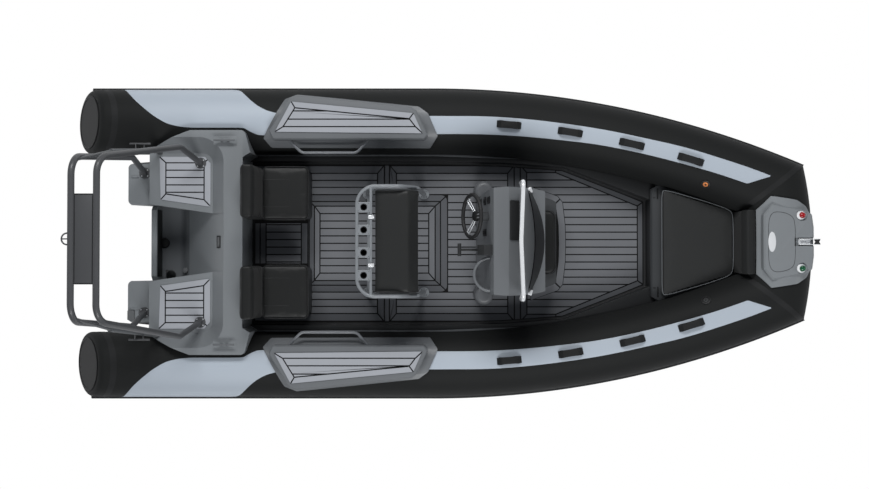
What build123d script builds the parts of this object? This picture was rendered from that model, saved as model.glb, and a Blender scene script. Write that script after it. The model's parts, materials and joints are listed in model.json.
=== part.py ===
"""Rigid inflatable boat, 6.5 m: a deep-V hull in a horseshoe of inflated tube, with a stern moulding round an
outboard well, two aft seats, a leaning post, a helm console, a bow locker with its cushion and a bow step.

The frame has +X forward, +Y to port and +Z up, in millimetres, with its origin on the waterline and the
centreline, amidships."""

from build123d import *
import os
from math import asin, atan2, cos, degrees, radians, sin

os.makedirs("parts", exist_ok=True)


def finish_node(builder, name):
    """Label a finished piece and write it."""
    builder.part.label = name
    export_step(builder.part, f"parts/{name}.step")


# ---------------------------------------------------------------- driving dimensions, mm
seat_gap = 0.3  # clearance between a piece and the curved or soft piece that it seats on

# Buoyancy tube: its axis is straight from the stern to amidships, then one arc in a plane that leans
# inboard and up, which closes the boat's plan and gives the sheer; a cross tube closes the bow on mitres
tube_radius = 285
tube_spacing = 1070
tube_height = 350
tube_stern = -3060
tube_rake = 34  # of the stern ends, degrees from upright
tube_end_round = 40
bow_curve = 6736
sheer_tilt = 22
corner_x = 2912
bow_bulge = 2745

# Fittings on the tube
strake_height = 66
strake_depth = 26
strake_rise = 12  # degrees above the leaning plane of the tube's curve
end_panel_thickness = 8
end_panel_inset = 50
handle_length = 214
handle_width = 62
handle_rise = 34
handle_strap = 12
handle_foot = 40
handle_inboard = 6  # degrees inboard of the tube's crest
handle_stations = (653, 1186, 1716, 2213)
valve_radius = 40
valve_rise = 8
valve_station = 2395
valve_inboard = 40

# Hull and deck
transom_x = -2475
deck_height = 194
foam = 6
deck_top = deck_height + foam
liner_split = 120  # height of the joint between the hull and the deck liner
cockpit_aft = -1640
cockpit_half_width = 729
cockpit_front = 1900
cockpit_front_half_width = 385
foredeck_height = 400

# Stern moulding
platform_height = 540
bench_height = 690
bench_front = -1640
bench_aft = -1800
wing_half_width = 960
wing_aft = -2090
wing_end = -1625
moulding_aft_half_width = 815
well_floor = 100
well_slope_x = -2287
well_mouth_x = -1913
well_round = 70
well_aft_half_width = 335
well_front_half_width = 252
platform_front = -1925
platform_half_width = 777
platform_round = 90
wall_reach = 123  # how far the curved wall round a platform leans out on its way up
transom_top = 290
transom_thickness = 50
step_height = 430
fin_thickness = 10
step_length = 215
step_flare = 9  # degrees that the sides of the steps spread on their way down
step_lip = 60
step_outer = 695
step_bottom = 40

# Aft seats
seat_inner = 190
seat_width = 470
seat_front = -1079
seat_back = -1487
seat_base_inset = 22
cushion_bottom = 520
seat_top = 620
backrest_top = 950

# Side steps on the tubes
side_step_top = 715
side_flange = 16
side_pad = 8

# Leaning post
post_half_width = 441
post_tube = 21
post_front_x = -110
post_rear_x = -560
post_frame_height = 975
post_pan = 16
lean_cushion_thickness = 105
hoop_radius = 14
hoop_height = 1140
hoop_x = -629
hoop_corner = 150
rod_bar_x = -503
rod_hole = 25

# Console
console_aft = 372
console_front = 1085
console_half_width = 440
console_aft_half_width = 415
console_nose_half_width = 345
console_round = 110
hump_height = 1185
dash_height = 1130
hump_aft = console_aft + 106
hump_front = 600
slope_foot = 690
front_seat_height = 600
front_seat_back = 865
front_seat_front = 1050
screen_thickness = 8
screen_top = 1440
rail_radius = 17
wheel_radius = 174
wheel_grip = 16.5
wheel_x = console_aft - 67
wheel_y = 206
wheel_z = hump_height - 90
wheel_lean = 23

# Bow
locker_aft = 1895
locker_height = 450
bow_cushion_aft = 1969
bow_cushion_thickness = 95
bow_step_height = 905
roller_x = 3190
roller_radius = 24
roller_half_width = 20

# Arch
arch_tube = 25
arch_height = 1995
arch_half_width = 603
arch_forward_x = -2466
arch_aft_x = -2653

# ---------------------------------------------------------------- tube axes and their planes
tilt_sin = sin(radians(sheer_tilt))
tilt_cos = cos(radians(sheer_tilt))


def tube_frame(x):
    """Axis point, tangent, outboard normal and binormal of the port tube's axis at a distance x forward."""
    turn = asin(max(x, 0) / bow_curve)
    close = bow_curve * (1 - cos(turn))
    point = Vector(x, tube_spacing - close * tilt_cos, tube_height + close * tilt_sin)
    tangent = Vector(cos(turn), -sin(turn) * tilt_cos, sin(turn) * tilt_sin)
    outboard = Vector(sin(turn), cos(turn) * tilt_cos, -cos(turn) * tilt_sin)
    return point, tangent, outboard, Vector(0, tilt_sin, tilt_cos)


def on_tube(x, inboard):
    """Plane on the port tube's skin, z outward and x along the tube, some degrees inboard of its crest."""
    point, tangent, outboard, binormal = tube_frame(x)
    lean = radians(sheer_tilt + inboard)
    out = binormal * cos(lean) - outboard * sin(lean)
    return Plane(origin=point + out * tube_radius, x_dir=tangent, z_dir=out)


corner, corner_tangent, _, _ = tube_frame(corner_x)
bow_turn = asin(corner.Y / bow_bulge)
bow_centre_x = corner.X - bow_bulge * cos(bow_turn)
bow_tangent = Vector(sin(bow_turn), -cos(bow_turn), 0)
mitre_normal = (corner_tangent + bow_tangent).normalized()
port_mitre = Plane(origin=corner, z_dir=mitre_normal)
star_mitre = Plane(origin=(corner.X, -corner.Y, corner.Z), z_dir=(mitre_normal.X, -mitre_normal.Y, mitre_normal.Z))
curve_plane = Plane(origin=(0, tube_spacing, tube_height), x_dir=(1, 0, 0), z_dir=(0, tilt_sin, tilt_cos))
section_plane = Plane(origin=(tube_stern, tube_spacing, tube_height), x_dir=(0, tilt_cos, -tilt_sin), z_dir=(1, 0, 0))
rake_plane = Plane(
    origin=(tube_stern, tube_spacing, tube_height),
    x_dir=(0, 1, 0),
    z_dir=(-cos(radians(tube_rake)), 0, sin(radians(tube_rake))),
)
past_mitre = tube_radius * 1.6


def tube_path():
    """Axis of the port tube, from past its raked end to past its mitre."""
    with BuildLine(curve_plane) as path:
        Line((tube_stern - tube_radius, 0), (0, 0))
        end = degrees(asin((corner_x + past_mitre) / bow_curve))
        JernArc(start=(0, 0), tangent=(1, 0), radius=bow_curve, arc_size=-end)
    return path.wire()


# ---------------------------------------------------------------- buoyancy tubes
port_path = tube_path()
with BuildPart() as tube_port:
    with BuildSketch(Plane(origin=port_path @ 0, x_dir=(0, 1, 0), z_dir=(1, 0, 0))):
        Circle(tube_radius)
    sweep(path=port_path)
    split(bisect_by=port_mitre, keep=Keep.BOTTOM)
    split(bisect_by=rake_plane, keep=Keep.BOTTOM)
    fillet(tube_port.faces().filter_by(rake_plane).edges(), tube_end_round)
finish_node(tube_port, "tube_port")

with BuildPart() as tube_starboard:
    add(mirror(tube_port.part, about=Plane.XZ, mode=Mode.PRIVATE))
finish_node(tube_starboard, "tube_starboard")

with BuildPart() as tube_bow:
    with BuildLine(Plane.XY.offset(corner.Z)) as bow_path:
        reach = degrees(bow_turn) + degrees(past_mitre / bow_bulge)
        CenterArc((bow_centre_x, 0), bow_bulge, -reach, 2 * reach)
    with BuildSketch(Plane(origin=bow_path.wire() @ 0, z_dir=bow_path.wire() % 0)):
        Circle(tube_radius)
    sweep(path=bow_path.wire())
    split(bisect_by=port_mitre, keep=Keep.TOP)
    split(bisect_by=star_mitre, keep=Keep.TOP)
finish_node(tube_bow, "tube_bow")

# Solid that stands a seat gap off every tube, for cutting what lies against them
with BuildPart() as tube_clearance:
    with BuildSketch(Plane(origin=port_path @ 0, x_dir=(0, 1, 0), z_dir=(1, 0, 0))):
        Circle(tube_radius + seat_gap)
    sweep(path=port_path)
    split(bisect_by=port_mitre, keep=Keep.BOTTOM)
    mirror(about=Plane.XZ)
with BuildPart() as bow_clearance:
    with BuildSketch(Plane(origin=bow_path.wire() @ 0, z_dir=bow_path.wire() % 0)):
        Circle(tube_radius + seat_gap)
    sweep(path=bow_path.wire())
    split(bisect_by=port_mitre, keep=Keep.TOP)
    split(bisect_by=star_mitre, keep=Keep.TOP)

# Rubbing strakes, swept along the widest line of each tube
def polar(radius, angle):
    """Point of the tube's section at a radius and an angle in degrees from its leaning plane."""
    return (radius * cos(radians(angle)), radius * sin(radians(angle)))


strake_half = degrees(strake_height / 2 / tube_radius)
with BuildPart() as rub_strakes:
    with BuildSketch(section_plane):
        with BuildLine():
            inner = tube_radius + seat_gap
            outer = tube_radius + strake_depth
            low = strake_rise - strake_half
            high = strake_rise + strake_half
            ThreePointArc(polar(inner, low), polar(inner, strake_rise), polar(inner, high))
            Line(polar(inner, high), polar(outer, strake_rise + strake_half / 2))
            ThreePointArc(
                polar(outer, strake_rise + strake_half / 2),
                polar(outer, strake_rise),
                polar(outer, strake_rise - strake_half / 2),
            )
            Line(polar(outer, strake_rise - strake_half / 2), polar(inner, low))
        make_face()
    with BuildLine(curve_plane) as strake_path:
        Line((tube_stern, 0), (0, 0))
        JernArc(start=(0, 0), tangent=(1, 0), radius=bow_curve,
                arc_size=-degrees(asin((corner_x + past_mitre) / bow_curve)))
    sweep(path=strake_path.wire())
    split(bisect_by=port_mitre, keep=Keep.BOTTOM)
    mirror(about=Plane.XZ)
finish_node(rub_strakes, "rub_strakes")

# Rubber panels on the raked ends
with BuildPart() as tube_end_panels:
    with BuildSketch(rake_plane.offset(seat_gap)):
        rake_stretch = 1 / cos(radians(tube_rake))
        Ellipse(tube_radius - end_panel_inset, (tube_radius - end_panel_inset) * rake_stretch)
    extrude(amount=end_panel_thickness)
    mirror(about=Plane.XZ)
finish_node(tube_end_panels, "tube_end_panels")

# Lifting handles: a strap arched between two feet
handle_seat = 0.9  # clears the hollow of the tube's curve under the ends of the strap
handle_lengths = handle_length - 2 * handle_foot
with BuildPart() as tube_handles:
    for station in handle_stations:
        seat = on_tube(station, handle_inboard)
        side = Plane(origin=seat.origin, x_dir=seat.x_dir, z_dir=seat.x_dir.cross(seat.z_dir))
        with BuildSketch(side):
            with BuildLine():
                Polyline(
                    (-handle_length / 2, handle_seat),
                    (-handle_length / 2, handle_strap),
                    (-handle_lengths / 2, handle_rise),
                    (handle_lengths / 2, handle_rise),
                    (handle_length / 2, handle_strap),
                    (handle_length / 2, handle_seat),
                    (handle_length / 2 - handle_foot / 2, handle_seat),
                    (handle_lengths / 2 - handle_strap / 2, handle_rise - handle_strap),
                    (-handle_lengths / 2 + handle_strap / 2, handle_rise - handle_strap),
                    (-handle_length / 2 + handle_foot / 2, handle_seat),
                    close=True,
                )
            make_face()
        extrude(amount=handle_width / 2, both=True)
    mirror(about=Plane.XZ)
finish_node(tube_handles, "tube_handles")

# Inflation valves in their rubber rings, one a side
with BuildPart() as tube_valves:
    with BuildSketch(on_tube(valve_station, valve_inboard).offset(seat_gap)):
        Circle(valve_radius)
    extrude(amount=valve_rise)
    chamfer(tube_valves.faces().sort_by(SortBy.DISTANCE).last.edges(), valve_rise / 3)
    with BuildSketch(on_tube(valve_station, valve_inboard).offset(seat_gap + valve_rise)):
        Circle(valve_radius * 0.55)
    extrude(amount=valve_rise / 2)
    mirror(about=Plane.XZ)
finish_node(tube_valves, "tube_valves")

# ---------------------------------------------------------------- hull and deck liner
# x, height of the keel, half-width and height of the chine, half-width and height of the top edge
hull_sections = (
    (transom_x, -350, 868, 0, 900, 300),
    (-600, -350, 868, 0, 900, 300),
    (300, -350, 850, 8, 882, 310),
    (1000, -345, 800, 30, 832, 340),
    (1480, -325, 712, 80, 748, 372),
    (1900, -290, 598, 140, 640, foredeck_height),
    (2220, -222, 506, 192, 550, foredeck_height),
    (2500, -130, 405, 250, 452, foredeck_height),
    (2900, 110, 225, 330, 280, foredeck_height),
    (3040, 265, 60, 362, 90, foredeck_height),
)
chine_flat = 45
chine_drop = 12
strake_shares = (0.36, 0.7)  # places of the lifting strakes between the keel and the chine
lifting_strake = 26
cockpit_outline = (
    (cockpit_aft, cockpit_half_width),
    (0, cockpit_half_width),
    (620, 716),
    (1150, 676),
    (cockpit_front, cockpit_front_half_width),
)


def mirrored(points):
    """A half outline, from aft to forward on the port side, closed by its mirror image."""
    return [*points, *[(x, -y) for x, y in reversed(points)]]


def hull_half(keel, chine, chine_z, top, top_z):
    """Half section of the hull: the bottom with its lifting strakes, the flat chine and the side."""
    bottom_y = chine - chine_flat
    bottom_z = chine_z - chine_drop
    points = []
    for share in strake_shares:
        strake_y = bottom_y * share
        strake_z = keel + (bottom_z - keel) * share
        points += [(strake_y, strake_z), (strake_y + lifting_strake * chine / hull_sections[0][2], strake_z)]
    return [*points, (bottom_y, bottom_z), (chine, chine_z), (top, top_z)]


# Room for the outboard: a floor in the hull, a front that slopes up to the bench and sides that close towards it
with BuildPart() as well_space:
    with BuildSketch(Plane.XZ) as well_profile:
        with BuildLine():
            Polyline(
                (transom_x, bench_height + well_floor),
                (transom_x, well_floor),
                (well_slope_x, well_floor),
                (well_mouth_x, platform_height),
                (bench_aft, bench_height),
                (bench_aft, bench_height + well_floor),
                close=True,
            )
        make_face()
        fillet(well_profile.vertices().group_by(Axis.Y)[0].sort_by(Axis.X)[-1], well_round)
    extrude(amount=well_aft_half_width, both=True)
    with BuildSketch(Plane.XY.offset(well_floor)):
        with BuildLine():
            Polyline(
                *mirrored(
                    (
                        (transom_x, well_aft_half_width),
                        (well_mouth_x, well_front_half_width),
                        (bench_aft, well_front_half_width),
                    )
                ),
                close=True,
            )
        make_face()
    extrude(amount=bench_height, mode=Mode.INTERSECT)

with BuildPart() as hull_block:
    for x, *heights in hull_sections:
        with BuildSketch(Plane(origin=(x, 0, 0), x_dir=(0, 1, 0), z_dir=(1, 0, 0))):
            with BuildLine():
                half = hull_half(*heights)
                Polyline((0, heights[0]), *half, *[(-y, z) for y, z in reversed(half)], close=True)
            make_face()
    loft(ruled=True)
    add(tube_clearance.part, mode=Mode.SUBTRACT)
    add(bow_clearance.part, mode=Mode.SUBTRACT)
    with BuildSketch(Plane.XY.offset(deck_height)):
        with BuildLine():
            Polyline(*mirrored(cockpit_outline), close=True)
        make_face()
    extrude(amount=foredeck_height, mode=Mode.SUBTRACT)
    # stern: everything above the deck level aft of the cockpit belongs to the stern moulding
    with BuildSketch(Plane.XY.offset(deck_height)):
        with Locations(((transom_x + cockpit_aft) / 2, 0)):
            Rectangle(cockpit_aft - transom_x, 2 * tube_spacing)
    extrude(amount=foredeck_height, mode=Mode.SUBTRACT)
    add(well_space.part, mode=Mode.SUBTRACT)

# The liner is let into the hull: its floor and the cockpit's side, out to below the tubes' inner edge
liner_outline = ((cockpit_aft, 775), (0, 775), (1000, 735), (cockpit_front + 45, 535))
with BuildPart() as liner_block:
    with BuildSketch(Plane.XY.offset(liner_split)):
        with BuildLine():
            Polyline(*mirrored(liner_outline), close=True)
        make_face()
    extrude(amount=foredeck_height)

with BuildPart() as hull:
    add(hull_block.part)
    add(liner_block.part, mode=Mode.SUBTRACT)
finish_node(hull, "hull")

with BuildPart() as deck_liner:
    add(hull_block.part)
    add(liner_block.part, mode=Mode.INTERSECT)
finish_node(deck_liner, "deck_liner")

# ---------------------------------------------------------------- stern moulding and transom
wing_lip_x = -1575
wing_lip_half_width = 770
wing_corner = 45
wing_sweep = (-2230, 906)  # point of the curved outboard edge aft of the wing
with BuildPart() as platform_space:
    with BuildSketch(Plane.XY.offset(platform_height)) as platform_plan:
        with BuildLine():
            Polyline(
                (transom_x - wall_reach, -platform_half_width),
                (transom_x - wall_reach, platform_half_width),
                (platform_front, platform_half_width),
                (platform_front, -platform_half_width),
                close=True,
            )
        make_face()
        fillet(platform_plan.vertices().group_by(Axis.X)[-1], platform_round)
    wall_height = bench_height - platform_height
    extrude(amount=wall_height, taper=-degrees(atan2(wall_reach, wall_height)))

with BuildPart() as stern_moulding:
    with BuildSketch(Plane.XY.offset(deck_height)) as moulding_plan:
        with BuildLine():
            Line((bench_front, 0), (transom_x, 0))
            Line((transom_x, 0), (transom_x, moulding_aft_half_width - wing_corner))
            Line(
                (transom_x, moulding_aft_half_width - wing_corner),
                (transom_x + wing_corner, moulding_aft_half_width),
            )
            ThreePointArc(
                (transom_x + wing_corner, moulding_aft_half_width), wing_sweep, (wing_aft, wing_half_width)
            )
            Line((wing_aft, wing_half_width), (wing_end, wing_half_width))
            Line((wing_end, wing_half_width), (wing_lip_x, wing_lip_half_width))
            Line((wing_lip_x, wing_lip_half_width), (bench_front, cockpit_half_width))
            Line((bench_front, cockpit_half_width), (bench_front, 0))
        make_face()
        fillet(moulding_plan.vertices().group_by(Axis.Y)[-1].sort_by(Axis.X)[-1], wing_corner)
        mirror(about=Plane.XZ)
    extrude(amount=bench_height - deck_height)
    add(platform_space.part, mode=Mode.SUBTRACT)
    add(well_space.part, mode=Mode.SUBTRACT)
    add(tube_clearance.part, mode=Mode.SUBTRACT)
    add(deck_liner.part, mode=Mode.SUBTRACT)
    add(hull.part, mode=Mode.SUBTRACT)
finish_node(stern_moulding, "stern_moulding")

transom_corner = 40
transom_foot = -330
transom_bilge = -215
with BuildPart() as transom:
    with BuildSketch(Plane.YZ.offset(transom_x)):
        with BuildLine():
            Polyline(
                (0, transom_foot),
                (well_aft_half_width, transom_bilge),
                (well_aft_half_width, transom_top - transom_corner),
                (well_aft_half_width - transom_corner, transom_top),
                (transom_corner - well_aft_half_width, transom_top),
                (-well_aft_half_width, transom_top - transom_corner),
                (-well_aft_half_width, transom_bilge),
                close=True,
            )
        make_face()
    extrude(amount=-transom_thickness)
finish_node(transom, "transom")

# Steps aft, one a side: flared brackets with a sloped underside, and a small fin across each.
# Their inboard walls stand plumb at the transom's ends, so an outboard's clamp bracket lies flat between them.
step_aft = transom_x - step_length
fin_y = 580
with BuildPart() as stern_steps:
    with BuildSketch(Plane.XY.offset(step_height)) as step_plan:
        with BuildLine():
            Polyline(
                (transom_x, well_aft_half_width),
                (step_aft, well_aft_half_width),
                (step_aft, step_outer),
                (transom_x, step_outer),
                close=True,
            )
        make_face()
        fillet(step_plan.vertices().group_by(Axis.X)[0], transom_corner)
    extrude(amount=step_bottom - step_height, taper=-step_flare)
    with BuildSketch(Plane.XZ.offset(-well_aft_half_width)):
        with BuildLine():
            Polyline(
                (transom_x, step_bottom),
                (transom_x, step_height),
                (step_aft, step_height),
                (step_aft, step_height - step_lip),
                close=True,
            )
        make_face()
    extrude(amount=well_aft_half_width - moulding_aft_half_width, mode=Mode.INTERSECT)
    with BuildSketch(Plane.XY.offset(step_height)):
        with Locations((step_aft + step_lip, fin_y)):
            SlotOverall(step_lip + fin_thickness, fin_thickness)
    extrude(amount=fin_thickness)
    add(transom.part, mode=Mode.SUBTRACT)
    add(tube_clearance.part, mode=Mode.SUBTRACT)
    mirror(about=Plane.XZ)
finish_node(stern_steps, "stern_steps")

# Socket block for a boarding ladder, on the starboard step
ladder_length = 62
ladder_width = 88
ladder_rise = 22
with BuildPart() as ladder_bracket:
    with BuildSketch(Plane.XY.offset(step_height)) as ladder_plan:
        with Locations((step_aft + ladder_length / 2, -(fin_y + ladder_width / 2 + fin_thickness))):
            Rectangle(ladder_length, ladder_width)
        fillet(ladder_plan.vertices(), fin_thickness)
    extrude(amount=ladder_rise)
    chamfer(ladder_bracket.faces().sort_by(Axis.Z)[-1].edges(), fin_thickness / 2)
finish_node(ladder_bracket, "ladder_bracket")

# Foam pads on the platforms, cut round the feet of the arch's forward hoop
stern_pad = 6
foot_plate = 48
arch_foot = (-2030, 690)
pad_corners = ((-2394, 751), (-1991, 751), (-1939, 690), (-1939, 326), (-1965, 309), (-2381, 369))
with BuildPart() as stern_pads:
    with BuildSketch(Plane.XY.offset(platform_height)) as stern_pad_plan:
        with BuildLine():
            Polyline(*pad_corners, close=True)
        make_face()
        fillet(stern_pad_plan.vertices(), 14)
        with Locations(arch_foot):
            Circle(foot_plate + seat_gap, mode=Mode.SUBTRACT)
    extrude(amount=stern_pad)
    mirror(about=Plane.XZ)
finish_node(stern_pads, "stern_pads")

# ---------------------------------------------------------------- foam decking
plank_pitch = 66
groove_width = 7
groove_depth = 2
groove_length = 3300
groove_middle = 140
deck_edge = 20  # bare margin between the foam and the cockpit's side


def inset_outline(points, amount):
    """The half outline moved inboard by an amount."""
    return [(x, y - amount) for x, y in points]


planking_outline = (
    (cockpit_aft + deck_edge, cockpit_half_width),
    (0, cockpit_half_width),
    (620, 716),
    (1150, 676),
    (cockpit_front - deck_edge, cockpit_front_half_width + 9),
)
with BuildPart() as deck_planking:
    with BuildSketch(Plane.XY.offset(deck_height)):
        with BuildLine():
            Polyline(*mirrored(inset_outline(planking_outline, deck_edge)), close=True)
        make_face()
    extrude(amount=foam)
    # grooves between the planks, fore and aft
    planks = int(cockpit_half_width / plank_pitch)
    with BuildSketch(Plane.XY.offset(deck_top - groove_depth)):
        with Locations(*[(groove_middle, (row + 0.5) * plank_pitch) for row in range(-planks, planks)]):
            Rectangle(groove_length, groove_width)
    extrude(amount=foam, mode=Mode.SUBTRACT)
finish_node(deck_planking, "deck_planking")

# ---------------------------------------------------------------- aft seats
seat_centre = seat_inner + seat_width / 2
with BuildPart() as seat_bases:
    with BuildSketch(Plane.XY.offset(deck_top)):
        with Locations(((bench_front + seat_front) / 2 - seat_base_inset / 2, seat_centre)):
            Rectangle(seat_front - bench_front - seat_base_inset, seat_width - 2 * seat_base_inset)
    extrude(amount=cushion_bottom - deck_top)
    fillet(seat_bases.edges().filter_by(Axis.Z).group_by(Axis.X)[-1], 40)
    mirror(about=Plane.XZ)
finish_node(seat_bases, "seat_bases")

with BuildPart() as seat_cushions:
    with BuildSketch(Plane.XY.offset(cushion_bottom)) as seat_outline:
        with Locations(((seat_back + seat_front) / 2, seat_centre)):
            Rectangle(seat_front - seat_back, seat_width)
        fillet(seat_outline.vertices().group_by(Axis.X)[-1], 45)
    extrude(amount=seat_top - cushion_bottom)
    fillet(seat_cushions.faces().sort_by(Axis.Z)[-1].edges(), 18)
    mirror(about=Plane.XZ)
finish_node(seat_cushions, "seat_cushions")

with BuildPart() as seat_backrests:
    with BuildSketch(Plane.XZ.offset(-seat_inner)) as back_profile:
        with BuildLine():
            Polyline(
                (bench_front + seat_gap, cushion_bottom),
                (seat_back - seat_gap, cushion_bottom),
                (seat_back - seat_gap, seat_top + 20),
                (seat_back - 25, backrest_top),
                (bench_front - 20 + 45, backrest_top),
                (bench_front + seat_gap, bench_height + 60),
                close=True,
            )
        make_face()
        fillet(back_profile.vertices().group_by(Axis.Y)[-1], 34)
    extrude(amount=-seat_width)
    mirror(about=Plane.XZ)
finish_node(seat_backrests, "seat_backrests")

# ---------------------------------------------------------------- side steps on the tubes
# corners of the flange that lies on the tube, and of the raised body, port side
flange_outline = (
    (-1478, 900), (-1418, 827), (-39, 823), (28, 917), (-56, 1110), (-135, 1170), (-1190, 1285), (-1290, 1240),
)
body_outline = (
    (-1415, 949), (-1381, 877), (-89, 877), (-55, 914), (-152, 1124), (-200, 1158), (-1177, 1260), (-1237, 1230),
)
pad_outline = ((-1385, 925), (-1231, 1222), (-166, 1118), (-78, 912))
with BuildPart() as tube_sleeve:
    with BuildSketch(Plane(origin=port_path @ 0, x_dir=(0, 1, 0), z_dir=(1, 0, 0))):
        Circle(tube_radius + side_flange)
    sweep(path=port_path)
with BuildPart() as side_steps:
    with BuildSketch(Plane.XY.offset(tube_height)):
        with BuildLine():
            Polyline(*flange_outline, close=True)
        make_face()
    extrude(amount=tube_radius * 2)
    add(tube_sleeve.part, mode=Mode.INTERSECT)
    with BuildSketch(Plane.XY.offset(tube_height + tube_radius / 2)):
        with BuildLine():
            Polyline(*body_outline, close=True)
        make_face()
    extrude(amount=side_step_top - tube_height - tube_radius / 2)
    chamfer(side_steps.faces().sort_by(Axis.Z)[-1].edges(), 12)
    add(tube_clearance.part, mode=Mode.SUBTRACT)
    mirror(about=Plane.XZ)
finish_node(side_steps, "side_steps")

with BuildPart() as side_pads:
    with BuildSketch(Plane.XY.offset(side_step_top)) as pad_sketch:
        with BuildLine():
            Polyline(*pad_outline, close=True)
        make_face()
        offset(amount=-14)
        fillet(pad_sketch.vertices(), 12)
    extrude(amount=side_pad)
    mirror(about=Plane.XZ)
finish_node(side_pads, "side_pads")

side_rail_tube = 12.5
side_rail_z = 640
with BuildPart() as side_rails:
    with BuildLine() as rail_path:
        FilletPolyline(
            (-1245, 877, side_rail_z), (-1143, 771, side_rail_z), (-667, 771, side_rail_z), (-574, 877, side_rail_z),
            radius=(70, 70),
        )
    with BuildSketch(Plane(origin=rail_path.wire() @ 0, z_dir=rail_path.wire() % 0)):
        Circle(side_rail_tube)
    sweep(path=rail_path.wire())
    add(tube_clearance.part, mode=Mode.SUBTRACT)
    add(side_steps.part, mode=Mode.SUBTRACT)
    mirror(about=Plane.XZ)
finish_node(side_rails, "side_rails")

# ---------------------------------------------------------------- leaning post
foot_radius = 45
foot_height = 12
cushion_aft = -497
cushion_front = -122
cushion_half_width = 433
with BuildPart() as leaning_post:
    with BuildLine() as leg_path:
        FilletPolyline(
            (post_rear_x - 40, post_half_width, deck_top),
            (post_rear_x + 20, post_half_width, post_frame_height - post_tube),
            (post_front_x - 30, post_half_width, post_frame_height - post_tube),
            (post_front_x + 16, post_half_width, deck_top),
            radius=(70, 70),
        )
    with BuildSketch(Plane(origin=leg_path.wire() @ 0, z_dir=leg_path.wire() % 0)):
        Circle(post_tube)
    sweep(path=leg_path.wire())
    with BuildSketch(Plane.XY.offset(deck_top)):
        with Locations((post_rear_x - 40, post_half_width), (post_front_x + 16, post_half_width)):
            Circle(foot_radius)
    extrude(amount=foot_height)
    mirror(about=Plane.XZ)
    with BuildSketch(Plane.XZ):
        with Locations(
            (post_rear_x + 90, post_frame_height - post_tube),
            (post_front_x - 90, post_frame_height - post_tube),
            (post_rear_x - 13, 480),
        ):
            Circle(post_tube * 0.8)
    extrude(amount=post_half_width, both=True)
    # seat pan, let into the tubes that carry it
    with BuildSketch(Plane.XY.offset(post_frame_height - post_pan / 2)):
        with Locations(((cushion_aft + cushion_front) / 2, 0)):
            Rectangle(cushion_front - cushion_aft - 60, 2 * cushion_half_width - 60)
    extrude(amount=post_pan)
    split(bisect_by=Plane.XY.offset(deck_top), keep=Keep.TOP)
finish_node(leaning_post, "leaning_post")

with BuildPart() as lean_cushion:
    with BuildSketch(Plane.XZ) as lean_profile:
        base = post_frame_height + post_pan / 2
        top = base + lean_cushion_thickness
        with BuildLine():
            Polyline(
                (cushion_aft, base), (cushion_aft, top), (cushion_front - 90, top + 6),
                (cushion_front, top - 60), (cushion_front, base), close=True,
            )
        make_face()
        fillet(lean_profile.vertices().group_by(Axis.Y)[-1], 40)
        fillet(lean_profile.vertices().sort_by(Axis.Y)[2], 20)
    extrude(amount=cushion_half_width, both=True)
finish_node(lean_cushion, "lean_cushion")

# Back hoop round the aft side of the seat, with the bar and the rod holders between them
with BuildPart() as back_hoop:
    with BuildLine() as hoop_path:
        FilletPolyline(
            (cushion_front - 30, post_half_width + 8, post_frame_height - post_tube),
            (cushion_front - 160, post_half_width + 8, hoop_height),
            (hoop_x, post_half_width + 8, hoop_height),
            (hoop_x, -post_half_width - 8, hoop_height),
            (cushion_front - 160, -post_half_width - 8, hoop_height),
            (cushion_front - 30, -post_half_width - 8, post_frame_height - post_tube),
            radius=(60, hoop_corner, hoop_corner, 60),
        )
    with BuildSketch(Plane(origin=hoop_path.wire() @ 0, z_dir=hoop_path.wire() % 0)):
        Circle(hoop_radius)
    sweep(path=hoop_path.wire())
    with BuildSketch(Plane.XZ):
        with Locations((rod_bar_x - hoop_radius, hoop_height)):
            Circle(hoop_radius - 2)
    extrude(amount=post_half_width + 8, both=True)
    add(leaning_post.part, mode=Mode.SUBTRACT)
finish_node(back_hoop, "back_hoop")

rod_plate_x = 0.5 * (hoop_x + rod_bar_x - hoop_radius)
rod_rows = (-276, -92, 92, 276)
with BuildPart() as rod_holders:
    with BuildSketch(Plane.XY.offset(hoop_height + hoop_radius + seat_gap)):
        with Locations(*[(rod_plate_x, row) for row in rod_rows]):
            RectangleRounded(105, 84, 8)
            Circle(rod_hole, mode=Mode.SUBTRACT)
    extrude(amount=4)
    with BuildSketch(Plane.XY.offset(hoop_height + hoop_radius + seat_gap)):
        with Locations(*[(rod_plate_x, row) for row in rod_rows]):
            Circle(rod_hole + 3)
            Circle(rod_hole, mode=Mode.SUBTRACT)
    extrude(amount=-180)
finish_node(rod_holders, "rod_holders")

# ---------------------------------------------------------------- console
with BuildPart() as console:
    with BuildSketch(Plane.XZ):
        with BuildLine():
            Polyline(
                (console_aft, deck_top),
                (console_aft + 40, hump_height - 285),
                (hump_aft - 23, hump_height - 60),
                (hump_aft, hump_height),
                (hump_front, hump_height),
                (slope_foot, dash_height),
                (front_seat_back + 33, dash_height),
                (front_seat_back, front_seat_height + 40),
                (front_seat_back, front_seat_height),
                (front_seat_front, front_seat_height),
                (console_front, deck_top),
                close=True,
            )
        make_face()
    extrude(amount=console_half_width, both=True)
    with BuildSketch(Plane.XY.offset(deck_top)) as console_plan:
        with BuildLine():
            Line((console_aft, 0), (console_aft, console_aft_half_width))
            ThreePointArc(
                (console_aft, console_aft_half_width),
                (slope_foot - 50, console_half_width),
                (front_seat_back, console_aft_half_width),
            )
            Line((front_seat_back, console_aft_half_width), (console_front, console_nose_half_width))
            Line((console_front, console_nose_half_width), (console_front, 0))
            Line((console_front, 0), (console_aft, 0))
        make_face()
        fillet(console_plan.vertices().group_by(Axis.Y)[-2:], console_round)
        mirror(about=Plane.XZ)
    extrude(amount=hump_height, mode=Mode.INTERSECT)
finish_node(console, "console")

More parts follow.
